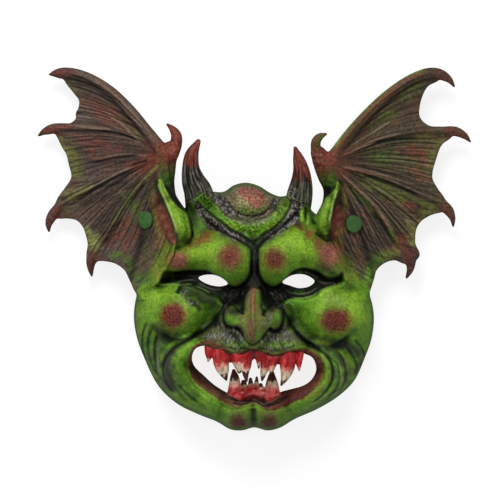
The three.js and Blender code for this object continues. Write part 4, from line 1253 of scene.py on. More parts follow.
def paint_spot(x, y, radius, squash, middle, halo, rough):
    """A red spot with a halo and, where it is rough, beads and pits."""
    cut, _ = patch([(x, y, radius + 8)], 2)
    out = np.hypot(X[cut] - x, (Y[cut] - y) / squash)
    ragged = out + (1.0 + 1.8 * rough) * (grain(cut, 2.2, 51) - 0.5)
    speckle = ramp(grain(cut, 1.2, 53), 0.35, 0.65)
    core = 0.6 if middle in (BRICK, DARK_RED) else 0.35
    lay(halo, (1 - ramp(ragged, radius - 3, radius + 6.5)) * (0.45 + 0.3 * speckle), cut)
    lay(middle, (1 - ramp(ragged, radius * 0.2 + 5 * rough, radius + 2.6 - rough)) * 0.94, cut)
    lay(DARK_RED, (1 - ramp(out, 0, radius * 0.9)) * core, cut)
    beads = 1 - cells(X[cut], Y[cut], 1.7, 52)
    bumpy = 1 - ramp(out, radius - 2, radius + 1)
    # Painted highlights in terracotta on the raised beads, and black in the pits between them
    coats(
        cut, bumpy,
        (TERRACOTTA, ramp(beads, 0.65, 0.95) * 0.35 * rough),
        (BLACK, ramp(1 - beads, 0.55, 0.9) * 0.5 * rough),
    )
    fine[cut] += bumpy * 0.9 * rough * (beads - 0.45)
    roughen(cut, bumpy * 0.9)


def paint_mouth():
    """The lips, and the dark line inside them."""
    ring = centripetal(LIP_OUTLINE, 4, 2, closed=True)
    cut = front.window(ring, 4)
    x, y = X[cut], Y[cut]
    ragged = 1.8 * (grain_mid[cut] - 0.5) + 0.8 * (grain_fine[cut] - 0.5)
    coats(
        cut, 1 - ramp(outline_distance(ring, x, y) + ragged, -1.4, 1.4),
        (LIP, 0.95),
        (TERRACOTTA, ramp(grain(cut, 2.4, 61, (2, 1)), 0.6, 0.9) * 0.2),
        (DARK_RED, ramp(-y, 88, 104) * ramp(x, -20, 14) * 0.8),
        (BROWN, ramp(-x, 8, 30) * 0.6),
        (BROWN, (1 - ramp(-y, 78, 84)) * (1 - ramp(x, 24, 34)) * 0.5),
    )
    dab(DRIED_RED, [(22, -122, 1.6), (32, -118.6, 3), (42, -112, 2.4)], 4, 2, 0.75)
    dab(GREY, [(12, -69, 2), (19, -69.6, 3)], 3, 3, 0.45)
    gap = outline_distance(centripetal(MOUTH, 6, 2, closed=True), x, y)
    line = 1 - ramp(np.abs(gap), 0.3, 2.0)
    lay(BLACK, line * ramp(-y, 86, 94) * ramp(-x, -30, 14) * 0.85, cut)


def paint_face():
    off_wing = np.ones(front.shape)
    ragged = 9 * (grain_wide - 0.5) + 3 * (grain_mid - 0.5)
    for wing in WINGS:
        off_wing = np.minimum(off_wing, ramp(wing["maps"][0] + ragged, -11, 2))
    lower = ramp(-Y + 6 * (sponge - 0.5), 20, 34)
    coats(
        WHOLE, (1 - ramp(rim_share(X, Y), 0.985, 1.02)) * np.maximum(off_wing, lower),
        (GREEN, 1),
        (LEAF, ramp(sponge, 0.5, 0.75) * 0.6),
        (LIME, ramp(1 - sponge, 0.5, 0.8) * 0.45),
    )
    for colour, soft, wobble, amount, chain in FACE_GREENS:
        dab(colour, chain, soft, wobble, amount)
    for soft, wobble, amount, chain in CHARCOAL_PATCHES:
        dab(CHARCOAL, chain, soft, wobble, amount)
    for colour, width, amount, lines in STRIPES:
        airbrush(colour, width, amount, lines, 0.25)
    for outline in MOUSTACHE:
        paint_moustache(outline)
    for spot in SPOTS:
        paint_spot(*spot)
    paint_mouth()
    cut, cover = mask_out(OLIVE, NOSE)
    for colour, soft, wobble, amount, chain in NOSE_TONES:
        part, strength = patch(chain, soft, wobble)
        whole = np.zeros(front.shape)
        whole[part] = strength * amount
        lay(colour, whole[cut] * cover, cut)
    for outline in BLACK_SHAPES:
        mask_out(BLACK, outline, 0.97, 1.0, 0.8)
    for width, amount, lines in BLACK_LINES:
        airbrush(BLACK, width, amount, lines)
    for chain in CORNER_SPECKS:
        cut, strength = patch(chain, 3, 2)
        flecks = noise(X[cut] + 0.6 * Y[cut] * np.sign(X[cut]), Y[cut], 0.9, 171, (1, 1.6))
        # Grey and pale grey on the raised flecks: dry-brushed paint, and painted glints
        coats(
            cut, strength,
            (GREY, ramp(flecks, 0.55, 0.75) * 0.75),
            (PALE_GREY, ramp(flecks, 0.7, 0.85) * 0.5),
        )
        fine[cut] += strength * 0.7 * (flecks - 0.5)
    for colour, width, amount, lines in GLINTS:
        airbrush(colour, width, amount, lines, 0.2)


# Where the skin is cracked: how much, and a chain of x, y and radius
CRACKED = [
    (1.0, [(12, 2, 8), (34, 5, 13), (48, -2, 10)]),
    (0.55, [(-46, 2, 7), (-34, 0, 11), (-16, 4, 6)]),
    (0.4, [(-60, -12, 5), (-30, -12, 8), (20, -16, 7)]),
    (0.4, [(46, -46, 6), (76, -46, 9)]),
    (0.5, [(-82, -42, 6), (-72, -36, 6)]),
    (0.6, [(-46, 24, 6), (-40, 14, 5)]),
]


def paint_cracks():
    """Fine dark cracks and pits in the skin of the brow and the cheeks."""
    crack = (1 - ramp(wrinkles(X, Y, 2.2, 181), 0.0, 0.28)) * ramp(grain_mid, 0.3, 0.6)
    where = np.zeros(front.shape)
    for share, chain in CRACKED:
        cut, strength = patch(chain, 6, 3)
        where[cut] = np.maximum(where[cut], strength * share)
    lay(DARK_GREEN, crack * where * 0.75)
    fine[:] -= 0.5 * crack * where


# The crest: the bump and its core, the dish round them, the crescent below and its two grooves
CREST_BUMP = [
    (-26, 46), (-20, 50), (-12, 54), (-3, 54), (4, 51), (10, 47), (15, 43), (13, 36), (9, 31.5),
    (3, 28.5), (-4, 27.5), (-11, 29), (-16.5, 33), (-20, 38),
]
CREST_CORE = [
    (-13, 48), (-8, 52), (-2, 52.5), (4, 49), (8, 42), (7, 36), (3, 32), (-1, 33), (-5, 37),
    (-11, 42),
]
BASIN = [
    (-38, 47), (-30, 52), (-20, 52), (24, 52), (34, 46), (28, 40), (24, 30), (18, 24), (6, 18),
    (-4, 17), (-16, 19), (-26, 27), (-34, 38),
]
CRESCENT_SHAPE = [
    (-47.3, 41), (-41.5, 45.4), (-36, 40), (-30, 34.4), (-24, 27.8), (-20, 24.6), (-12, 22),
    (-6, 20), (0, 20.4), (6, 22.4), (12, 26), (16, 30), (20, 37), (22, 42.6), (25, 43.6),
    (28, 40.6), (28, 36), (25, 29), (21, 23), (16, 18), (10, 14), (5, 11), (-1, 7), (-6, 9.6),
    (-10, 12), (-18, 16), (-24, 20.6), (-30, 25), (-36, 30), (-42, 35),
]
GROOVES = [
    [
        (-2, 4), (-10, 10.5), (-18, 14.5), (-24, 19), (-30, 23.5), (-36, 28.5), (-42, 34),
        (-47, 40.5), (-45, 29), (-41, 22.4), (-34.5, 16.8), (-26, 11.8), (-18, 7.8), (-10.5, 3.8),
    ],
    [
        (2, 4), (5, 9.5), (10, 12.5), (16, 16.5), (21.5, 21.5), (26, 28), (29, 36), (30, 43),
        (39, 36), (37, 28.6), (35, 25), (30, 20), (23.5, 15), (16, 9.8), (8.6, 4.6),
    ],
]
# Colour, width, amount, how much the ends fade, lines
CREST_LINES = [
    (PALE_GREEN, 0.7, 0.8, 0.05, [
        [(-41, 45.6), (-47.5, 41), (-56, 37.6)],
        [(-40, 44.4), (-34, 38.6), (-28, 32)],
    ]),
    (GREEN, 2.2, 0.9, 0.2, [[(38.2, 20), (38.2, 34)], [(43.3, 18), (43.7, 35)]]),
    (LIME, 0.8, 0.5, 0.1, [[(37.6, 26), (37.8, 34)], [(42.8, 24), (43, 34)]]),
    (DARK_GREEN, 0.9, 0.8, 0.1, [[(40.8, 22), (40.8, 33)], [(35.4, 26), (35.4, 33)]]),
]
CREST_EDGE = [(-24, 31), (-16, 25), (-6, 22), (4, 22.4), (12, 27), (18, 34)]


def paint_crest():
    leather = wrinkles(X, Y, 2.6, 73)
    cut, cover = mask_out(GREY, BASIN, 1.0, 1.5, 1.0)
    x, y, folds = X[cut], Y[cut], leather[cut]
    coats(
        cut, cover,
        (OLIVE, (1 - ramp(y, 22, 30)) * 0.6),
        (PALE_GREY, ramp(folds, 0.75, 1.0) * 0.5),
        (CHARCOAL, (1 - ramp(folds, 0.2, 0.75)) * 0.9),
        (CHARCOAL, ramp(np.hypot(x + 3, y - 41), 17, 12) * 0.4),
        (TERRACOTTA, ramp(x, -14, 12) * (1 - ramp(x, 13, 20)) * ramp(folds, 0.6, 1.0) * 0.35),
    )
    fine[cut] += cover * 0.8 * (folds - 0.7)
    for outline in GROOVES:
        cut, cover = mask_out(BLACK, outline, 0.97, 1.6, 2.0)
        far = ramp(np.abs(X[cut]), 5, 16) * np.where(X[cut] > 0, 1.0, 0.75)
        lumps, specks = grain(cut, 1.8, 74), grain(cut, 0.8, 77)
        # Painted highlights in grey and ash on the raised lumps and specks, more towards the
        # grooves' outer ends
        coats(
            cut, cover,
            (GREY, far * ramp(lumps, 0.3, 0.6) * 0.9),
            (ASH, far * ramp(specks, 0.5, 0.8) * 0.8),
            (BLACK, ramp(1 - specks, 0.55, 0.85) * (0.6 - 0.25 * far)),
        )
        fine[cut] += cover * 1.4 * (lumps - 0.5) + cover * 0.7 * (specks - 0.5)
        roughen(cut, cover * 0.6)
    cut, cover = mask_out(SAND, CREST_BUMP, 1.0, 1.4, 1.0)
    coats(
        cut, cover,
        (OLIVE, ramp(grain(cut, 5, 75), 0.4, 0.7) * 0.55),
        (GREEN, ramp(-Y[cut], -38, -30) * 0.5),
    )
    core, inner = shape(CREST_CORE, 2.0, 1.5)
    lay(TERRACOTTA, inner, core)
    pits = 1 - ramp(cells(X[cut], Y[cut], 1.4, 71), 0.1, 0.4)
    coats(cut, cover, (BLACK, pits * 0.5), (PALE_GREEN, ramp(grain(cut, 1.2, 72), 0.7, 0.9) * 0.35))
    roughen(cut, cover)
    fine[cut] -= cover * pits * 0.4
    cut, cover = mask_out(LEAF, CRESCENT_SHAPE, 1.0, 1.2, 1.4)
    x, y, folds = X[cut], Y[cut], leather[cut]
    bright = grain(cut, 2.2, 76)
    middle = 1 - ramp(np.abs(x + 3), 16, 34)
    coats(
        cut, cover,
        (GREEN, (0.3 + 0.7 * middle) * ramp(bright, 0.1, 0.5)),
        (OLIVE, ramp(x, 10, 20) * 0.5),
        (DEEP_GREEN, ramp(-x, 24, 34) * 0.5),
        (LIME, middle * ramp(bright, 0.55, 0.85) * 0.9),
        (DARK_GREEN, (1 - ramp(folds, 0.0, 0.4)) * (0.15 + 0.5 * ramp(x, 4, 10))),
        (BLACK, (1 - ramp(y - 0.22 * np.abs(x), 7, 12)) * 0.9),
    )
    roughen(cut, cover * 0.7)
    fine[cut] += cover * 0.5 * (folds - 0.7)
    for colour, width, amount, fade, lines in CREST_LINES:
        airbrush(colour, width, amount, lines, fade)


# Wings. Patches: colour, softness, wobble of the edge, amount, and a chain of x, y and radius
WING_PATCHES = [
    (CHARCOAL, 4, 3, 0.5, [(-148, 140, 2), (-141, 137, 4), (-132, 133, 3)]),
    (OLIVE, 5, 3, 0.6, [(-150, 132, 1), (-145, 126, 3), (-142, 118, 3)]),
    (GREY, 5, 3, 0.35, [(-140, 110, 3), (-134, 106, 3)]),
    (BRICK, 6, 4, 0.6, [(-134, 118, 3), (-118, 108, 6), (-100, 98, 4)]),
    (OLIVE, 4, 3, 0.45, [(-108, 104, 1), (-92, 91, 3)]),
    (KHAKI, 4, 3, 0.8, [(-157, 89, 1), (-151, 80, 4), (-147, 70, 5), (-144, 61, 2)]),
    (OLIVE, 5, 4, 0.5, [(-146, 84, 3), (-140, 68, 4), (-138, 58, 3)]),
    (BRICK, 5, 4, 0.55, [(-142, 87, 2), (-128, 84, 5), (-112, 80, 2)]),
    (BRICK, 4, 3, 0.45, [(-132, 76, 2), (-116, 72, 2)]),
    (KHAKI, 5, 3, 0.6, [(-152, 44, 3), (-141, 46, 3), (-132, 52, 1)]),
    (OLIVE, 4, 3, 0.4, [(-150, 31, 2), (-142, 32, 2)]),
    (DARK_MAUVE, 5, 4, 0.7, [(-134, 36, 4), (-120, 44, 5), (-104, 56, 4)]),
    (KHAKI, 4, 3, 1.0, [(-136, 16, 3), (-130, 9, 6), (-128, 1, 4)]),
    (PALE_GREEN, 3, 3, 0.3, [(-133, 14, 1.5), (-128, 6, 2)]),
    (BRICK, 5, 3, 0.85, [(-100, 65, 2), (-88, 67, 4), (-80, 71, 4)]),
    (MOSS, 5, 3, 0.6, [(-104, 42, 1), (-97, 36, 4), (-95, 30, 4), (-99, 24, 1)]),
    (OLIVE, 4, 3, 0.5, [(-104, 44, 1), (-97, 35, 4), (-88, 40, 2), (-82, 50, 2)]),
    (BRICK, 4, 3, 0.6, [(-116, 6, 3), (-108, 14, 3), (-102, 24, 2)]),
    (BRICK, 4, 3, 0.45, [(-104, -2, 3), (-100, 8, 3), (-94, 14, 2)]),
    (OLIVE, 4, 3, 0.5, [(-92, 4, 2), (-86, -8, 3), (-84, 10, 1)]),
    (LEAF, 5, 3, 0.6, [(-116, -5, 1), (-106, -6, 2), (-98, -14, 3), (-94, -27, 3)]),
    (DEEP_GREEN, 5, 3, 0.8, [(-88, -24, 5), (-80, -16, 3), (-76, -4, 2)]),
    (BROWN, 8, 4, 0.5, [(76, 82, 4), (104, 104, 10), (126, 120, 8)]),
    (DARK_GREEN, 8, 4, 0.3, [(80, 84, 4), (104, 104, 6), (126, 128, 4)]),
    (MOSS, 6, 4, 0.7, [(98, 97, 2), (107, 107, 5)]),
    (MOSS, 5, 3, 0.7, [(120, 122, 2), (129, 130, 3)]),
    (DARK_MAUVE, 6, 4, 0.5, [(120, 112, 5), (128, 104, 3), (104, 92, 2)]),
    (MOSS, 5, 4, 0.85, [(92, 75, 3), (102, 73, 6), (110, 73, 4)]),
    (KHAKI, 5, 3, 0.7, [(153, 88, 1), (146, 83, 4), (141, 72, 4), (139, 62, 2)]),
    (OLIVE, 5, 3, 0.6, [(120, 84, 2), (132, 88, 3), (140, 90, 2)]),
    (OLIVE, 5, 4, 0.6, [(116, 72, 3), (128, 66, 3)]),
    (BRICK, 4, 4, 0.6, [(118, 79, 2), (130, 78, 4), (136, 72, 2)]),
    (BRICK, 4, 3, 0.55, [(126, 64, 2), (136, 58, 3)]),
    (KHAKI, 5, 3, 0.65, [(146, 36, 2), (140, 31, 4), (134, 26, 3)]),
    (BRICK, 4, 3, 0.6, [(116, 39, 2), (126, 33, 3)]),
    (OLIVE, 5, 3, 0.7, [(88, 58, 2), (104, 50, 5), (118, 42, 3)]),
    (MOSS, 5, 3, 0.7, [(90, 54, 3), (104, 47, 4), (114, 40, 2)]),
    (KHAKI, 3, 3, 0.9, [(124, 21, 2.4), (127, 12, 3), (127, 4, 1.6)]),
    (MOSS, 4, 3, 0.6, [(84, 46, 0.8), (100, 28, 1.2), (112, 8, 1.2)]),
    (BRICK, 4, 3, 0.75, [(117, 9, 3), (113, 0, 4), (104, -4, 2)]),
    (LEAF, 5, 3, 0.7, [(112, -3, 2), (100, -7, 3), (94, -18, 4), (88, -30, 4)]),
    (PALE_GREEN, 3, 3, 0.4, [(92, -18, 1), (90, -28, 2)]),
    (BRICK, 4, 3, 0.35, [(80, 8, 2), (90, 30, 2)]),
    (DARK_MAUVE, 5, 3, 0.6, [(96, 8, 3), (102, 20, 3), (98, 0, 3)]),
    (DARK_MAUVE, 5, 3, 0.5, [(-92, -2, 3), (-88, 8, 3), (-86, 44, 3)]),
    (GREEN, 4, 3, 0.5, [(95, -14, 2), (92, -24, 4)]),
    (DARK_OLIVE, 5, 4, 0.5, [(98, 98, 4), (108, 102, 4)]),
]
# Root and tip of each finger's claw
CLAWS = [
    (-148, 141, -163.8, 139.4), (-158, 96.5, -172.8, 90.6), (-157, 33, -164.4, 14.4),
    (-129, -4, -130.2, -21), (145, 141, 159.7, 130.4), (154, 95, 172.6, 86), (152, 34, 159, 18.6),
    (123, -4, 121.8, -22.4),
]
# The right wing's first membrane is smoother than the others
CALM = [
    (62, 74), (76, 92), (100, 118), (124, 135), (140, 140), (150, 136), (134, 126), (131, 106),
    (140, 97), (112, 92), (84, 82),
]
# Colour, width, amount, lines. The black lines are painted shadow in the grooves beside the ribs,
# the tan and terracotta lines painted highlights along them
RIBS = [
    (TAN, 2.0, 0.6, [[(-84, 79), (-98, 88), (-114, 94), (-132, 97.5), (-148, 98)]]),
    (BRICK, 1.6, 0.6, [[(-80, 73), (-90, 70), (-102, 64)], [(-144, 99), (-158, 97)]]),
    (TAN, 1.4, 0.45, [
        [(-96, 66), (-110, 61), (-126, 53)],
        [(-90, 84), (-104, 98), (-122, 112)],
        [(-84, 74), (-100, 76), (-124, 74)],
    ]),
    (KHAKI, 1.6, 0.5, [[(-126, 52.6), (-140, 45), (-152, 38)]]),
    (KHAKI, 1.3, 1.0, [[(-75, 69), (-82, 62), (-90, 54)]]),
    (KHAKI, 1.4, 0.55, [[(-84, 60), (-90, 54), (-97, 45), (-103, 37), (-110, 26), (-118, 12)]]),
    (MOSS, 1.4, 0.35, [[(-98, 44), (-106, 32), (-112, 21)]]),
    (BLACK, 1.3, 0.85, [
        [(-94, 64.6), (-110, 57.5), (-128, 47.6), (-146, 36.4)],
        [(-86, 55), (-95, 43), (-101, 34)],
        [(-105, 27), (-114, 13), (-121, 2)],
        [(-84, 71.6), (-100, 67)],
        [(-90, 76), (-112, 73), (-134, 68)],
        [(-92, 86), (-108, 93), (-126, 95)],
    ]),
    (TAN, 1.6, 0.55, [
        [(72, 75.5), (90, 84), (106, 90), (120, 93)],
        [(68, 66.5), (86, 63), (104, 58.4), (120, 51.6)],
        [(66, 63.6), (80, 51), (94, 38), (104, 26), (114, 10)],
    ]),
    (TERRACOTTA, 0.9, 0.4, [
        [(68, 73.6), (84, 80.6), (100, 86.6)],
        [(68, 66), (84, 62.6), (102, 57.8)],
        [(68, 62), (80, 50), (92, 38.4)],
        [(100, 28), (110, 14)],
    ]),
    (TAN, 0.6, 0.6, [
        [(76, 82), (92, 92), (112, 104)],
        [(90, 90), (108, 102), (124, 110)],
        [(78, 56), (94, 43), (108, 27)],
        [(84, 58), (100, 49), (118, 36)],
        [(70, 56), (80, 40), (92, 20), (98, 6)],
        [(74, 44), (84, 26), (92, 10)],
    ]),
    (MAUVE, 2.0, 0.7, [[(118, 52), (132, 45), (146, 39)]]),
    (BLACK, 1.7, 0.85, [
        [(84, 60.6), (100, 55.6), (118, 48.5), (134, 41.6)],
        [(92, 83), (104, 86.6), (118, 88.6), (134, 89)],
        [(74, 52), (85, 41), (96, 28), (106, 14), (117, -2)],
    ]),
    (DARK_GREEN, 2.4, 0.5, [[(100, 84), (116, 87), (128, 87)], [(96, 68), (112, 66)]]),
    (MOSS, 1.8, 0.6, [
        [(76, 50), (86, 40), (97, 27)],
        [(106, 18), (115, 2)],
        [(116, 46), (132, 38), (146, 34)],
    ]),
]
# The same along the wings' upper edges
UPPER_EDGES = [
    (TAN, 2.0, 0.42, [(-78, 84), (-88, 96), (-102, 113), (-118, 129), (-134, 139), (-146, 143)]),
    (DARK_MAUVE, 1.2, 0.7, [(-80, 81), (-92, 95), (-106, 111), (-122, 125), (-136, 134)]),
    (OLIVE, 2.6, 0.9, [(60, 77), (72, 93), (88, 111.5), (104, 126), (122, 139), (138, 144)]),
    (PALE_GREEN, 1.0, 0.8, [
        (61, 79), (72, 95), (88, 113.5), (104, 128), (122, 140.4), (138, 145.4),
    ]),
    (UMBER, 2.4, 0.8, [(66, 74), (78, 88.6), (93, 104.4), (110, 120), (127, 132), (140, 137)]),
    (BRICK, 0.9, 0.85, [
        (62.6, 75.6), (74.6, 91.4), (90.4, 109.8), (106.2, 124), (123.7, 136.8), (138.6, 141.6),
    ]),
]
# How far apart the creases of a membrane are at its free edge
CREASE_SPACING = 3.1


def fan_lines(wing, seed):
    """Crease lines that fan out from the wrist between the fingers."""
    rng = np.random.default_rng(seed)
    _, fingers = wing_lines(wing)
    steps = np.linspace(0, 1, 12)
    fingers = [
        np.stack([np.interp(steps, np.linspace(0, 1, len(f)), f[:, k]) for k in (0, 1)], -1)
        for f in fingers
    ]
    for first, second in zip(fingers[:-1], fingers[1:]):
        widest = np.linalg.norm(first[-1] - second[-1])
        count = int(widest / CREASE_SPACING)
        for i in range(count):
            across = (i + 0.5 + rng.uniform(-0.3, 0.3)) / count
            share = np.linspace(rng.uniform(0.08, 0.45), rng.uniform(0.75, 1.0), 9)
            line = np.stack([
                np.interp(share, steps, first[:, k] * (1 - across) + second[:, k] * across)
                for k in (0, 1)
            ], -1)
            yield line + np.cumsum(rng.normal(0, 0.22, line.shape), 0), rng.uniform(0.4, 1.0)


def from_wrist(wing):
    """The angle and distance from a wing's wrist."""
    x, y = wing["wrist"]
    return np.arctan2(Y - y, np.abs(X - x)), np.hypot(X - x, Y - y)


def paint_membrane(wing, seed, side, calm):
    """Thin streaks and creases out from the wrist, with wash and painted shade in the creases and
    painted highlights on the raised lines, and the knotty wrist itself.
    """
    angle, out = from_wrist(wing)
    thin = noise(angle * (24 + out * 0.6), out / 9, 1.3, seed + 2)
    on_wing = calm * side * (1 - ramp(wing["maps"][0], -0.5, 0.5)) * ramp(out, 10, 20)
    # Black in the sunk streaks, and painted highlights in tan on the raised ones
    coats(
        WHOLE, on_wing,
        (BLACK, ramp(thin, 0.5, 0.9) * 0.42),
        (TAN, ramp(1 - thin, 0.65, 0.95) * 0.12),
    )
    fine[:] += on_wing * 0.3 * (0.5 - thin)
    # Each crease sinks and takes a wash with painted shade, and the raised ridge beside it takes a
    # painted highlight
    for line, depth in fan_lines(wing, seed):
        depth *= front.sample(calm * (0.25 + 1.1 * grain_wide), *line[4:5].T)[0]
        stroke(fine, 0.75, -0.9 * depth, line, 0.3)
        stroke(fine, 1.2, 0.45 * depth, line + [0, 1.5], 0.3)
        stroke(crease_wash_and_shade, 0.65, 0.75 * depth, line, 0.3)
        stroke(crease_ridge_highlight, 0.6, 0.6 * depth, line + [0, 1.4], 0.3)
    lay(BRICK, side * (1 - ramp(out, 6, 26)) * ramp(1 - thin, 0.3, 0.6) * 0.75)
    cut, strength = patch([(*wing["wrist"], 5.5)], 5, 3)
    knots = grain(cut, 2.2, 41)
    coats(
        cut, strength,
        (BRICK, 1),
        (TERRACOTTA, ramp(knots, 0.6, 0.9) * 0.6),
        (DARK_RED, ramp(1 - knots, 0.6, 0.9) * 0.8),
    )
    fine[cut] += strength * 1.4 * (knots - 0.5)


def paint_claw(ax, ay, bx, by):
    mx, my = (ax + bx) / 2, (ay + by) / 2
    highlight_start = (ax * 0.6 + bx * 0.4, ay * 0.6 + by * 0.4 + 1.5, 0.8)
    dab(CLAW, [(ax, ay, 2), (mx, my, 5), (bx, by, 5)], 5, 3, 0.95)
    # A painted highlight along the claw's upper side
    dab(BRICK, [highlight_start, (mx, my + 1.5, 1)], 2.5, 2, 0.6)
    # Painted shade along its underside, then its dark tip
    dab(CLAW_TIP_AND_SHADE, [(ax, ay - 4, 1), (mx, my - 3.4, 1.2), (bx, by - 2, 1.2)], 2.4, 1.5, 0.7)
    dab(CLAW_TIP_AND_SHADE, [(bx, by, 2.4)], 5, 2, 0.9)


def paint_wings():
    to_right = ramp(X, 0, 60)
    coats(
        WHOLE, np.ones(front.shape),
        (MAUVE, 1),
        (OLIVE, to_right * 0.25),
        (UMBER, to_right * 0.5),
        (BROWN, ramp(grain_wide, 0.4, 0.7) * 0.35),
    )
    calm = np.ones(front.shape)
    cut, cover = shape(CALM, 4)
    calm[cut] -= 0.65 * cover
    halves = list(zip(WINGS, (21, 31), (X < 0, X > 0)))
    for wing, seed, side in halves:
        angle, out = from_wrist(wing)
        lay(DARK_MAUVE, side * ramp(noise(angle * 60, out / 14, 5.0, seed), 0.4, 0.8) * 0.7)
    for colour, soft, wobble, amount, chain in WING_PATCHES:
        dab(colour, chain, soft, wobble, amount, 3.0)
    for wing, seed, side in halves:
        paint_membrane(wing, seed, side, calm)
    # Painted highlights on the ridges beside the creases
    lay(TAN, crease_ridge_highlight * 0.3)
    for colour, width, amount, lines in RIBS:
        airbrush(colour, width, amount, lines, 0.2)
        for line in lines:
            stroke(fine, width * 0.8, -0.7 if colour is BLACK else 0.4, line, 0.2)
    for colour, width, amount, line in UPPER_EDGES:
        airbrush(colour, width, amount, [line])
    for claw in CLAWS:
        paint_claw(*claw)


def limb_cover(chain):
    """A limb seen from the front: its window, its cover, and the turn and place on it."""
    line = centripetal([(x, y, r) for x, y, _, r in chain], 6, 2)
    cut = front.window(line, line[:, 2].max() + 4)
    side, place = beside(line, X[cut], Y[cut])
    radius = column(line, place, 2)
    cover = 1 - ramp(np.abs(side) - radius, -0.3, 1.8)
    return cut, cover, np.arcsin(np.clip(side / radius, -1, 1)), place / (len(line) - 1)


# Ears: the hollow and the lumps in it, the green leaf in front and its rim
CONCHAS = [
    [
        (-79.5, 42), (-77.5, 45), (-75, 40), (-72, 34), (-69, 27), (-66, 20), (-63.5, 13),
        (-62.3, 6), (-64, 3), (-67.5, 3.5), (-71, 9), (-74.5, 16), (-78, 23), (-79.5, 32),
    ],
    [
        (64.5, 41), (68, 37), (71, 31), (72.6, 24.5), (71, 17.5), (67.5, 11.5), (63.6, 6.5),
        (60.5, 9), (59.8, 14), (61, 22), (62.6, 31),
    ],
]
CONCHA_LUMPS = [
    [(-76, 33), (-74, 25.5), (-71, 18.5), (-68, 11.5), (-65.4, 6.4)],
    [(67, 34), (68, 27), (67.6, 20), (65, 13)],
]
LEAVES = [
    [
        (-76.5, 56), (-74, 54.5), (-72, 50), (-69.5, 44.5), (-66, 39), (-61, 33.5), (-56.5, 30),
        (-53, 26), (-50.8, 19), (-50.5, 12), (-53, 7.5), (-57, 5), (-61.5, 4), (-62, 10), (-64, 17),
        (-66.5, 25), (-70, 33), (-73.5, 42), (-77, 50),
    ],
    [
        (66.5, 54), (68, 50.5), (66.5, 45.5), (64.5, 40), (63, 34), (61.5, 27), (60.3, 20),
        (59.5, 13.5), (56, 12), (52.5, 15.5), (50, 20), (49.5, 25), (51, 30), (54, 35.5),
        (57.5, 41), (61.5, 45), (65, 49),
    ],
]
LEAF_RIMS = [
    [(-76.5, 54), (-76, 50), (-72.6, 42), (-69, 33.5), (-65.6, 25), (-63, 17), (-61.4, 9)],
    [(67, 50), (65.4, 45), (63.4, 39), (62, 33), (60.6, 26), (59.4, 19)],
]
ARM_SHADOWS = [
    [
        (-72.5, 52), (-69, 51), (-66.5, 47.5), (-64.5, 43.5), (-61, 39), (-57, 35), (-53.8, 32.8),
        (-54.5, 29), (-58, 30.5), (-62, 34), (-66.5, 39.5), (-70, 45),
    ],
    [(52, 46), (57, 50), (62, 50), (60, 45), (55.5, 40), (52, 35)],
]
# Outer edges of the ears, and the dark lines under them
EAR_EDGES = [
    [(-81, 50), (-80.5, 34), (-79.5, 24), (-75, 12), (-69.5, 3)],
    [(71, 54), (73, 40), (74, 28)],
    [(72, 18), (67, 9)],
]
EAR_ROOTS = [[(-62.4, 14), (-61.6, 7), (-62.4, 2.6)], [(59.6, 16), (60, 9), (61.5, 6)]]


def paint_arm(chain, seed):
    """An arm, painted black at its root as a shadow under the ear, and red towards the wrist."""
    cut, cover, turn, along = limb_cover(chain)
    cover = cover * ramp(along, 0.1, 0.2) * ramp(X[cut], -79, -72.5) * ramp(-X[cut], -69, -62.5)
    knots = grain(cut, 2, seed)
    smooth_over(cut, cover)
    coats(
        cut, cover,
        (DEEP_GREEN, 1),
        (OLIVE, ramp(turn, 0.2, 1.2) * 0.5),
        (BLACK, ramp(knots, 0.45, 0.8) * 0.6),
        (BROWN, ramp(along, 0.45, 0.7) * 0.85),
        (BRICK, ramp(along, 0.65, 0.85)),
        (DARK_RED, ramp(along, 0.6, 0.8) * ramp(knots, 0.55, 0.8) * 0.7),
        # Painted shadow: black over the arm's root, under the ear
        (BLACK, (1 - ramp(along, 0.3, 0.5)) * 0.9),
    )
    fine[cut] += cover * ramp(along, 0.65, 0.85) * 1.2 * (knots - 0.5)


def paint_thumb(chain, tip, even, sided, shine, shade):
    """A thumb's claw: its tip's colour, even and on one side, the shine along it and its shade."""
    cut, cover, turn, along = limb_cover(chain)
    coats(
        cut, cover,
        (BRICK, 1),
        (tip, ramp(along, 0.15, 0.4) * (even + sided * ramp(-turn, -0.4, 0.3)) * 0.95),
        (TERRACOTTA, bell(turn, 0.4) * ramp(0.8 - along, 0, 0.3) * shine),
        (UMBER, shade),
        (DARK_RED, ramp(along, 0.8, 1.0) * 0.7),
    )


def paint_concha(outline, lumps):
    cut, cover = mask_out(CONCHA, outline, 1.0, 1.2, 0.6)
    smooth_over(cut, cover)
    lay(BROWN, cover * ramp(grain(cut, 3, 43), 0.4, 0.7) * 0.7, cut)
    for x, y in lumps:
        # Painted highlights in terracotta on the raised lumps
        dab(TERRACOTTA, [(x, y, 1.4), (x + 0.2, y + 0.2, 1.4)], 3.0, 1.4, 0.26)
        stroke(fine, 2.6, 1.2, [(x, y), (x + 0.1, y)])


def paint_leaf(outline, rim):
    cut, cover = mask_out(GREEN, outline, 1.0, 0.6)
    x, y = X[cut], Y[cut]
    smooth_over(cut, cover)
    coats(
        cut, cover,
        (LIME, 0.5 + 0.5 * ramp(grain(cut, 4, 44), 0.3, 0.7)),
        # Painted shade in deep green low on the leaf and along its inner edge
        (DEEP_GREEN, (1 - ramp(y, 4, 16)) * 0.4),
        (DEEP_GREEN, ramp(0.55 * y - np.abs(x), -48, -40) * (1 - ramp(y, 30, 44)) * 0.3),
    )
    # A painted highlight in pale green along the leaf's raised outer rim
    airbrush(PALE_GREEN, 0.9, 0.75, [rim])
    stroke(fine, 1.2, 0.9, rim, 0.15)
    roughen(cut, cover * 0.6)


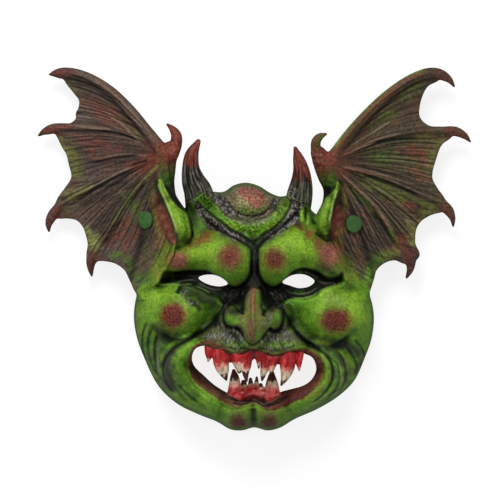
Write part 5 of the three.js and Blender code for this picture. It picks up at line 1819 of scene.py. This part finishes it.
def paint_horn(chain, seed, wobble, low, high):
    """A horn, grey at its root and red from low to high along it."""
    cut, cover, turn, along = limb_cover(chain)
    cover = cover * ramp(along + 0.1 * (grain_mid[cut] - 0.5), 0.0, 0.16)
    streak = noise(turn * 8, along * 30, 1.6, seed, (1, 6))
    thin = noise(turn * 8, along * 30, 0.8, seed + 1, (1, 7))
    top = ramp(along + wobble * (streak - 0.5), low, high)
    coats(
        cut, cover,
        (CHARCOAL, 1),
        (GREY, (1 - ramp(along, 0.2, 0.5)) * 0.6),
        (OLIVE, ramp(streak, 0.5, 0.8) * 0.35),
        # Painted highlights in pale grey on the raised streaks
        (PALE_GREY, ramp(thin, 0.62, 0.9) * 0.7),
        (BRICK, top),
        (TERRACOTTA, top * ramp(thin, 0.6, 0.9) * 0.35),
        (DARK_RED, top * ramp(turn, 0.3, 1.4) * 0.6),
        (BLACK, (1 - 0.6 * top) * ramp(1 - thin, 0.6, 0.85) * 0.8),
    )
    fine[cut] += cover * (1.1 * (streak - 0.5) + 1.0 * (thin - 0.5))


def paint_limbs():
    for chain, seed in zip(ARMS, (101, 111)):
        paint_arm(chain, seed)
    paint_thumb(THUMBS[0], BRICK, 0.8, 0, 0.5, 0.1)
    paint_thumb(THUMBS[1], OLIVE, 0.5, 0.5, 0.2, 0.35)
    for outline, lumps in zip(CONCHAS, CONCHA_LUMPS):
        paint_concha(outline, lumps)
    for outline in ARM_SHADOWS:
        mask_out(BLACK, outline, 0.9, 1.0, 0.6)
    for outline, rim in zip(LEAVES, LEAF_RIMS):
        paint_leaf(outline, rim)
    airbrush(OCHRE, 2.4, 0.6, EAR_EDGES, 0.2)
    airbrush(BLACK, 1.2, 0.85, EAR_ROOTS)
    paint_horn(HORNS[0], 81, 0.1, 0.58, 0.68)
    paint_horn(HORNS[1], 91, 0.16, 0.34, 0.56)


paint_wings()
paint_face()
paint_cracks()
paint_limbs()
paint_crest()
fine += 0.30 * (noise(X, Y, 3.2, 131) - 0.5) + 0.24 * (grain_fine - 0.5)

# Painted shade and a dark wash darken the hollows, less so near the wrists, and painted highlights
# and dry-brushing lighten the crests
relief = heights + fine
hollow = blur(relief, 0.9) - relief
low_ground = blur(heights, 3.0) - heights
flat_face = 1 - ramp(rim_share(X, Y), 0.86, 0.95)
dark = np.clip(hollow * 3.0, 0, 1.0) * 0.9 + np.clip(low_ground * 0.35, 0, 1.4) * flat_face
for wing in WINGS:
    dark *= 0.35 + 0.65 * ramp(from_wrist(wing)[1], 7, 20)
paint *= np.exp(-1.3 * dark)[..., None]
# Wash and painted shade in the wings' creases
lay(BLACK, crease_wash_and_shade * 0.75)
# Painted highlights on the crests
bright = np.clip(-hollow * 2.5, 0, 0.7)[..., None]
paint = paint * (1 + 0.55 * bright) + 0.02 * bright
# A painted highlight: a pale sage line along the lower edge of the crest lightens the shade in the
# crease there
airbrush(SAGE_HIGHLIGHT, 2.2, 0.85, [CREST_EDGE], 0.5)

# The skin's points take the fine relief and the paint
normals = vertex_normals(places, faces)
facing = ramp(normals[:, 2], 0.0, 0.45)
raised = front.sample(fine, places[:, 0], places[:, 1]) * facing
places += (normals * raised[:, None]).astype(np.float32)
normals = vertex_normals(places, faces)
upward = normals[:, 2]
voxel = np.clip(np.round(places / STEP).astype(int) - block.corner, 0, np.array(block.size) - 1)
depth = -outer[tuple(voxel.T)]
across, up, level = places.T.astype(float)
colours = front.sample(paint, across, up)
pitted = front.sample(grit, across, up) * facing


def blend_in(colour, share):
    """Blends a colour into the skin's points."""
    colours[:] = colours * (1 - share[:, None]) + linear(colour) * share[:, None]


# The upright walls at the rim are plain, and don't draw out what is painted on the front
far_out = rim_share(across, up)
drop = front.sample(heights, across * 0.96, up * 0.96) - places[:, 2]
wall = (1 - ramp(np.abs(upward), 0.06, 0.25)) * ramp(drop, 12, 24)
wall *= ramp(far_out, 0.9, 0.96) * (1 - ramp(far_out, 1.04, 1.1))
cloudy = noise(np.arctan2(up, across) * 110, level, 8, 142)
blend_in(DEEP_GREEN, wall)
blend_in(LEAF, wall * ramp(cloudy, 0.35, 0.75) * 0.7)
blend_in(OLIVE, wall * ramp(up, 10, 30) * 0.6)
blend_in(DARK_GREEN, wall * (1 - ramp(level, 2, 16)) * 0.5)
# The back is plain as well, mauve behind the wings and green behind the chin
behind = ramp(-upward, 0.0, 0.6)
blend_in(DARK_MAUVE, behind * ramp(up, -40, -28) * 0.85)
blend_in(DEEP_GREEN, behind * ramp(-up, 28, 40) * 0.85)
# Painted shade: the steep sides and the underside are darkened
colours *= (1 - 0.45 * ramp(-upward, -0.75, -0.1))[:, None]
hidden = ramp(depth, 1.1, 2.2)
blend_in(INSIDE, hidden)
blend_in(INSIDE_SPOT, hidden * ramp(noise(across, up, 9, 141), 0.4, 0.8))


# Colours of the gums and the teeth
GUM_RED = (158, 16, 20)
GUM_BRIGHT = (214, 52, 54)
GUM_PINK = (208, 100, 96)
GUM_HOLLOW = (88, 10, 12)
GUM_STREAK = (96, 12, 14)
TOOTH_NECK = (226, 142, 128)
IVORY = (220, 200, 172)
STAIN = (136, 104, 84)
TOOTH_SIDE = (130, 96, 80)
TOOTH_TIP = (74, 30, 27)


def tooth_colours(points):
    """Gums fading to pale teeth with dark tips."""
    x, y = points[:, 0].astype(float), points[:, 1].astype(float)
    closest = np.full(len(points), 99.0)
    along, red_end, tip_start = (np.zeros(len(points)) for _ in range(3))
    for tooth, (red, dark) in zip(UPPER_TEETH + LOWER_TEETH, TOOTH_TONES):
        line = centripetal(tooth, 6, 2)
        gap, place = nearest(line, x, y)
        gap = gap / np.maximum(column(line, place, 2), 1)
        near = gap < closest
        closest = np.where(near, gap, closest)
        along = np.where(near, place / (len(line) - 1), along)
        red_end, tip_start = np.where(near, red, red_end), np.where(near, dark, tip_start)
    streak = noise(x, y, 0.9, 151, (1, 5))
    edge = along + 0.14 * (noise(x, y, 1.6, 152) - 0.5) + 0.1 * (streak - 0.5)
    bare = ramp(edge - red_end, -0.02, 0.16)
    tone = np.tile(linear(GUM_RED), (len(points), 1))
    for colour, share in [
        (GUM_BRIGHT, ramp(noise(x, y, 2.6, 153), 0.5, 0.8) * 0.6),
        (GUM_PINK, ramp(-y, 100, 108) * ramp(noise(x, y, 2.6, 154), 0.3, 0.65) * 0.65),
        (GUM_HOLLOW, ramp(closest, 0.75, 1.1) * 0.8),
        (GUM_STREAK, ramp(1 - streak, 0.6, 0.9) * 0.3),
        (TOOTH_NECK, ramp(edge - red_end, -0.14, 0.04)),
        (IVORY, bare),
        (STAIN, bare * ramp(streak, 0.55, 0.85) * 0.7),
        (TOOTH_SIDE, bare * ramp(closest, 0.75, 1.05) * 0.6),
        (TOOTH_TIP, ramp(edge - tip_start, -0.03, 0.03)),
    ]:
        tone = tone * (1 - share[:, None]) + linear(colour) * share[:, None]
    return tone


# Materials
def set_inputs(tree, node, inputs):
    """Sets a node's sockets by name or number: another node's output is linked, a value is set."""
    for socket, value in inputs.items():
        if isinstance(value, bpy.types.NodeSocket):
            tree.links.new(value, node.inputs[socket])
        else:
            node.inputs[socket].default_value = value


def add_node(tree, kind, output, inputs, **settings):
    """Adds a node with its settings and inputs, and returns one of its outputs."""
    node = tree.nodes.new("ShaderNode" + kind)
    for setting, value in settings.items():
        setattr(node, setting, value)
    set_inputs(tree, node, inputs)
    return node.outputs[output]


def new_material(name):
    """A material, its node tree and the place that its textures are read at."""
    material = bpy.data.materials.new(name)
    material.use_nodes = True
    tree = material.node_tree
    return material, tree, add_node(tree, "TexCoord", "Object", {})


def bumpy_normal(tree, height, strength, depth):
    """The surface's direction with a fine relief in it, depth in millimetres."""
    inputs = {"Strength": strength, "Distance": depth * MM, "Height": height}
    return add_node(tree, "Bump", "Normal", inputs)


def painted(name, rough, mottle, relief, specular):
    """Brushed and sprayed paint: the laid colours with mottling, specks, pits, an uneven gloss."""
    material, tree, where = new_material(name)

    def clouds(scale, detail):
        inputs = {"Scale": scale, "Detail": detail, "Vector": where}
        return add_node(tree, "TexNoise", "Fac", inputs)

    def spread(value, low, high, first, last):
        return add_node(tree, "MapRange", "Result", {
            "From Min": low, "From Max": high, "To Min": first, "To Max": last, "Value": value,
        })

    def combine(operation, first, second):
        return add_node(tree, "Math", "Value", {0: first, 1: second}, operation=operation)

    coat = add_node(tree, "Attribute", "Color", {}, attribute_name="paint")
    pitted = coat.node.outputs["Alpha"]
    cell = add_node(tree, "TexVoronoi", "Distance", {"Scale": 620, "Vector": where})
    pit = combine("MULTIPLY", spread(cell, 0.15, 0.4, 1, 0), pitted)
    cloud = spread(clouds(430, 5), 0.36, 0.64, 1 - mottle, 1 + mottle)
    speck = spread(clouds(1250, 2), 0.5, 0.72, 1.0, 1.0 + 1.6 * mottle)
    unpitted = combine("SUBTRACT", 1.0, combine("MULTIPLY", pit, 0.6))
    shade = combine("MULTIPLY", combine("MULTIPLY", cloud, speck), unpitted)
    tint = add_node(tree, "VectorMath", "Vector", {0: coat, "Scale": shade}, operation="SCALE")
    dull = add_node(tree, "Attribute", "Fac", {}, attribute_name="dull")
    uneven = spread(clouds(170, 3), 0.35, 0.65, rough - 0.1, rough + 0.14)
    height = combine("SUBTRACT", clouds(800, 4), pit)
    set_inputs(tree, tree.nodes["Principled BSDF"], {
        "Base Color": tint,
        "Roughness": combine("ADD", uneven, combine("MULTIPLY", dull, 0.5)),
        "Specular IOR Level": specular,
        "Normal": bumpy_normal(tree, height, 0.7, relief),
    })
    return material


def thin_out(points, faces, hidden, size):
    """Merges hidden points by cells of a given size, to save faces where nobody looks."""
    cell = np.floor(points[hidden] / size).astype(np.int64) + 500
    _, first, group = np.unique(cell @ [1000000, 1000, 1], return_index=True, return_inverse=True)
    count = np.bincount(group)
    owner = np.flatnonzero(hidden)[first]
    points = points.copy()
    for k in range(3):
        points[owner, k] = np.bincount(group, points[hidden][:, k]) / count
    stands_for = np.arange(len(points))
    stands_for[hidden] = owner[group]
    return points, stands_for[faces]


def whole_faces(faces):
    """The four-sided and three-sided faces that are left after merging."""
    after = np.roll(faces, -1, axis=1)
    same = faces == after
    across = (faces[:, 0] == faces[:, 2]) | (faces[:, 1] == faces[:, 3])
    quads = faces[~same.any(1) & ~across]
    three = (same.sum(1) == 1) & ~across
    corner = same[three].argmax(1)
    turn = (corner[:, None] + np.arange(1, 4)) % 4
    return quads, np.take_along_axis(faces[three], turn, axis=1)


def add_object(name, mesh, material):
    """Puts a mesh in the scene with its material."""
    mesh.materials.append(material)
    piece = bpy.data.objects.new(name, mesh)
    bpy.context.scene.collection.objects.link(piece)
    return piece


def make_piece(name, points, faces, normals, colours, material, slot, *nodes):
    """A piece with its paint, standing for CAD nodes."""
    quads, threes = whole_faces(faces)
    corners = np.concatenate([quads.ravel(), threes.ravel()])
    used, corners = np.unique(corners, return_inverse=True)
    starts = [np.arange(0, quads.size, 4), quads.size + np.arange(0, threes.size, 3)]
    starts = np.concatenate(starts)
    mesh = bpy.data.meshes.new(name)
    mesh.vertices.add(len(used))
    mesh.vertices.foreach_set("co", (points[used] * MM).astype(np.float32).ravel())
    mesh.loops.add(len(corners))
    mesh.loops.foreach_set("vertex_index", corners.astype(np.int32))
    mesh.polygons.add(len(starts))
    mesh.polygons.foreach_set("loop_start", starts.astype(np.int32))
    mesh.update(calc_edges=True)
    mesh.validate()
    mesh.shade_smooth()
    mesh.normals_split_custom_set_from_vertices(normals[used].astype(float).tolist())
    layer = mesh.attributes.new("paint", "FLOAT_COLOR", "POINT")
    layer.data.foreach_set("color", colours[used].astype(np.float32).ravel())
    # Steep and overhanging sides are less glossy
    layer = mesh.attributes.new("dull", "FLOAT", "POINT")
    layer.data.foreach_set("value", ramp(-normals[used][:, 2], -0.85, -0.4).astype(np.float32))
    piece = add_object(name, mesh, material)
    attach(piece, "root")
    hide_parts(*nodes)


# Roughness, mottling, depth of the bumps in millimetres and specular level
skin = painted("painted_latex", 0.38, 0.2, 0.75, 0.16)
enamel = painted("painted_teeth", 0.26, 0.12, 0.25, 0.36)
for points in (places, teeth_places):
    points[:, :2] *= 1 - TAPER * (points[:, 2:] - TAPER_LEVEL)
# The inside and the underside are seen by nobody, and take larger faces
HIDDEN_DEPTH = 1.8
HIDDEN_CELL = 2.4
unseen = (depth > HIDDEN_DEPTH) | ((normals[:, 2] < -0.8) & (depth < -0.5))
places, faces = thin_out(places, faces, unseen, HIDDEN_CELL)
normals = vertex_normals(places, faces)
colours = np.hstack([colours, pitted[:, None]])
# Where the skin is divided into pieces
LEFT_SIDE, RIGHT_SIDE, BROW_END, JAW_START = -66, 63, -25.5, -78
middle = places[faces].mean(1)
upper, low = middle[:, 1] > BROW_END, middle[:, 1] < JAW_START
left, right = middle[:, 0] < LEFT_SIDE, middle[:, 0] > RIGHT_SIDE
for name, share in [
    ("mask_left_wing", upper & left),
    ("mask_right_wing", upper & right),
    ("mask_brow", upper & ~left & ~right),
    ("mask_cheeks", ~upper & ~low),
    ("mask_jaw", low),
]:
    make_piece(name, places, faces[share], normals, colours, skin, "latex", "mask")
TOOTH_PITS = 0.1
teeth_pitted = np.full((len(teeth_places), 1), TOOTH_PITS)
make_piece(
    "mask_teeth", teeth_places, teeth_faces, vertex_normals(teeth_places, teeth_faces),
    np.hstack([tooth_colours(teeth_places), teeth_pitted]), enamel, "latex", "mask",
)

# Snap rivets, turned: a cap with a rolled edge, a shank through the wing and a stud behind
RIVETS = [("rivet_left", LEFT_WING, (-86.3, 23.4)), ("rivet_right", RIGHT_WING, (78.7, 20.2))]
RIVET_SIDES = 96
# Radius and height from the stud's end to the top of the cap
RIVET_PROFILE = [
    (0, -5.5), (3.2, -5.5), (3.5, -5.2), (4.9, -5.2), (5.4, -5.0), (5.6, -4.5), (5.5, -3.7),
    (5.0, -3.35), (2.3, -3.3), (2.1, -3.0), (2.1, 0.0), (2.3, 0.35), (5.8, 0.35), (6.5, 0.4),
    (6.95, 0.7), (7.1, 1.2), (6.95, 1.75), (6.4, 2.15), (5.5, 2.3), (4.2, 2.38), (2.6, 2.5),
    (1.2, 2.58), (0, 2.6),
]
RIVET_DARK = (38, 80, 32)
RIVET_LIGHT = (64, 110, 50)


def rivet_material():
    """Green plastic, a little cloudy and scuffed."""
    material, tree, where = new_material("green_plastic")
    cloud = add_node(tree, "TexNoise", "Fac", {"Scale": 330, "Detail": 5, "Vector": where})
    scuff = add_node(tree, "TexNoise", "Fac", {"Scale": 1500, "Vector": where})
    shades = add_node(tree, "ValToRGB", "Color", {"Fac": cloud})
    ends = shades.node.color_ramp.elements
    for end, place, colour in zip(ends, (0.3, 0.75), (RIVET_DARK, RIVET_LIGHT)):
        end.position = place
        end.color = (*linear(colour), 1)
    set_inputs(tree, tree.nodes["Principled BSDF"], {
        "Base Color": shades,
        "Roughness": 0.48,
        "Specular IOR Level": 0.3,
        "Normal": bumpy_normal(tree, scuff, 0.3, 0.15),
    })
    return material


def add_rivet(name, wing, spot, material):
    """Turns a rivet's profile round an axis that stands square to the wing."""
    x, y = spot
    slope = wing_level(wing, x + 0.5) - wing_level(wing, x - 0.5)
    axis = mathutils.Vector((-slope, 0, 1)).normalized()
    turn = mathutils.Vector((0, 0, 1)).rotation_difference(axis).to_matrix()
    seat = mathutils.Vector((x, y, wing_level(wing, x)))
    bm = bmesh.new()
    rings = []
    for r, h in RIVET_PROFILE:
        angles = [0] if r == 0 else [2 * math.pi * k / RIVET_SIDES for k in range(RIVET_SIDES)]
        ring = [mathutils.Vector((r * math.cos(a), r * math.sin(a), h)) for a in angles]
        rings.append([bm.verts.new((turn @ point + seat) * MM) for point in ring])
    for low, high in zip(rings[:-1], rings[1:]):
        for k in range(RIVET_SIDES):
            after = (k + 1) % RIVET_SIDES
            if len(low) == 1:
                bm.faces.new((low[0], high[after], high[k]))
            elif len(high) == 1:
                bm.faces.new((low[k], low[after], high[0]))
            else:
                bm.faces.new((low[k], low[after], high[after], high[k]))
    mesh = bpy.data.meshes.new(name + "_cap")
    bm.to_mesh(mesh)
    bm.free()
    mesh.shade_smooth()
    piece = add_object(name + "_cap", mesh, material)
    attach(piece, "root")
    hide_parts(name)


plastic = rivet_material()
for name, wing, spot in RIVETS:
    add_rivet(name, wing, spot, plastic)

# The stage, the camera and the lights
FLOOR_HALF = 3
corners = [(-1, -1), (1, -1), (1, 1), (-1, 1)]
floor_mesh = bpy.data.meshes.new("floor")
corners = [(x * FLOOR_HALF, y * FLOOR_HALF, 0) for x, y in corners]
floor_mesh.from_pydata(corners, [], [(0, 1, 2, 3)])
pale = bpy.data.materials.new("pale_floor")
pale.use_nodes = True
set_inputs(pale.node_tree, pale.node_tree.nodes["Principled BSDF"], {
    "Base Color": (0.25, 0.25, 0.25, 1),
    "Roughness": 0.9,
    "Specular IOR Level": 0.0,
    "Emission Color": (1, 1, 1, 1),
    "Emission Strength": 0.82,
})
floor = add_object("floor", floor_mesh, pale)

camera_data = bpy.data.cameras.new("camera")
camera_data.sensor_width = 36
camera_data.lens = 360
camera_data.clip_end = 20
camera = bpy.data.objects.new("camera", camera_data)
camera.location = (-0.0036, -0.0006, 4.03)
bpy.context.scene.collection.objects.link(camera)
bpy.context.scene.camera = camera

WORLD_STRENGTH = 0.1
world = bpy.data.worlds.new("studio")
bpy.context.scene.world = world
world.use_nodes = True
set_inputs(world.node_tree, world.node_tree.nodes["Background"], {
    "Color": (1, 1, 1, 1),
    "Strength": WORLD_STRENGTH,
})
# Soft lamps: name, place, size in metres and power in watts
LAMPS = [
    ("top", (-0.2, 1.15, 1.35), 0.7, 21),
    ("left", (-1.2, 0.2, 1.2), 1.1, 7),
    ("right", (1.2, 0.0, 1.2), 1.1, 5.4),
    ("bottom", (0.0, -1.3, 1.1), 1.2, 4.2),
]
for name, place, size, power in LAMPS:
    data = bpy.data.lights.new(name, "AREA")
    data.size = size
    data.energy = power
    light = bpy.data.objects.new(name, data)
    light.location = place
    light.rotation_euler = (-mathutils.Vector(place)).to_track_quat("-Z", "Y").to_euler()
    bpy.context.scene.collection.objects.link(light)
bpy.context.scene.view_settings.view_transform = "Standard"
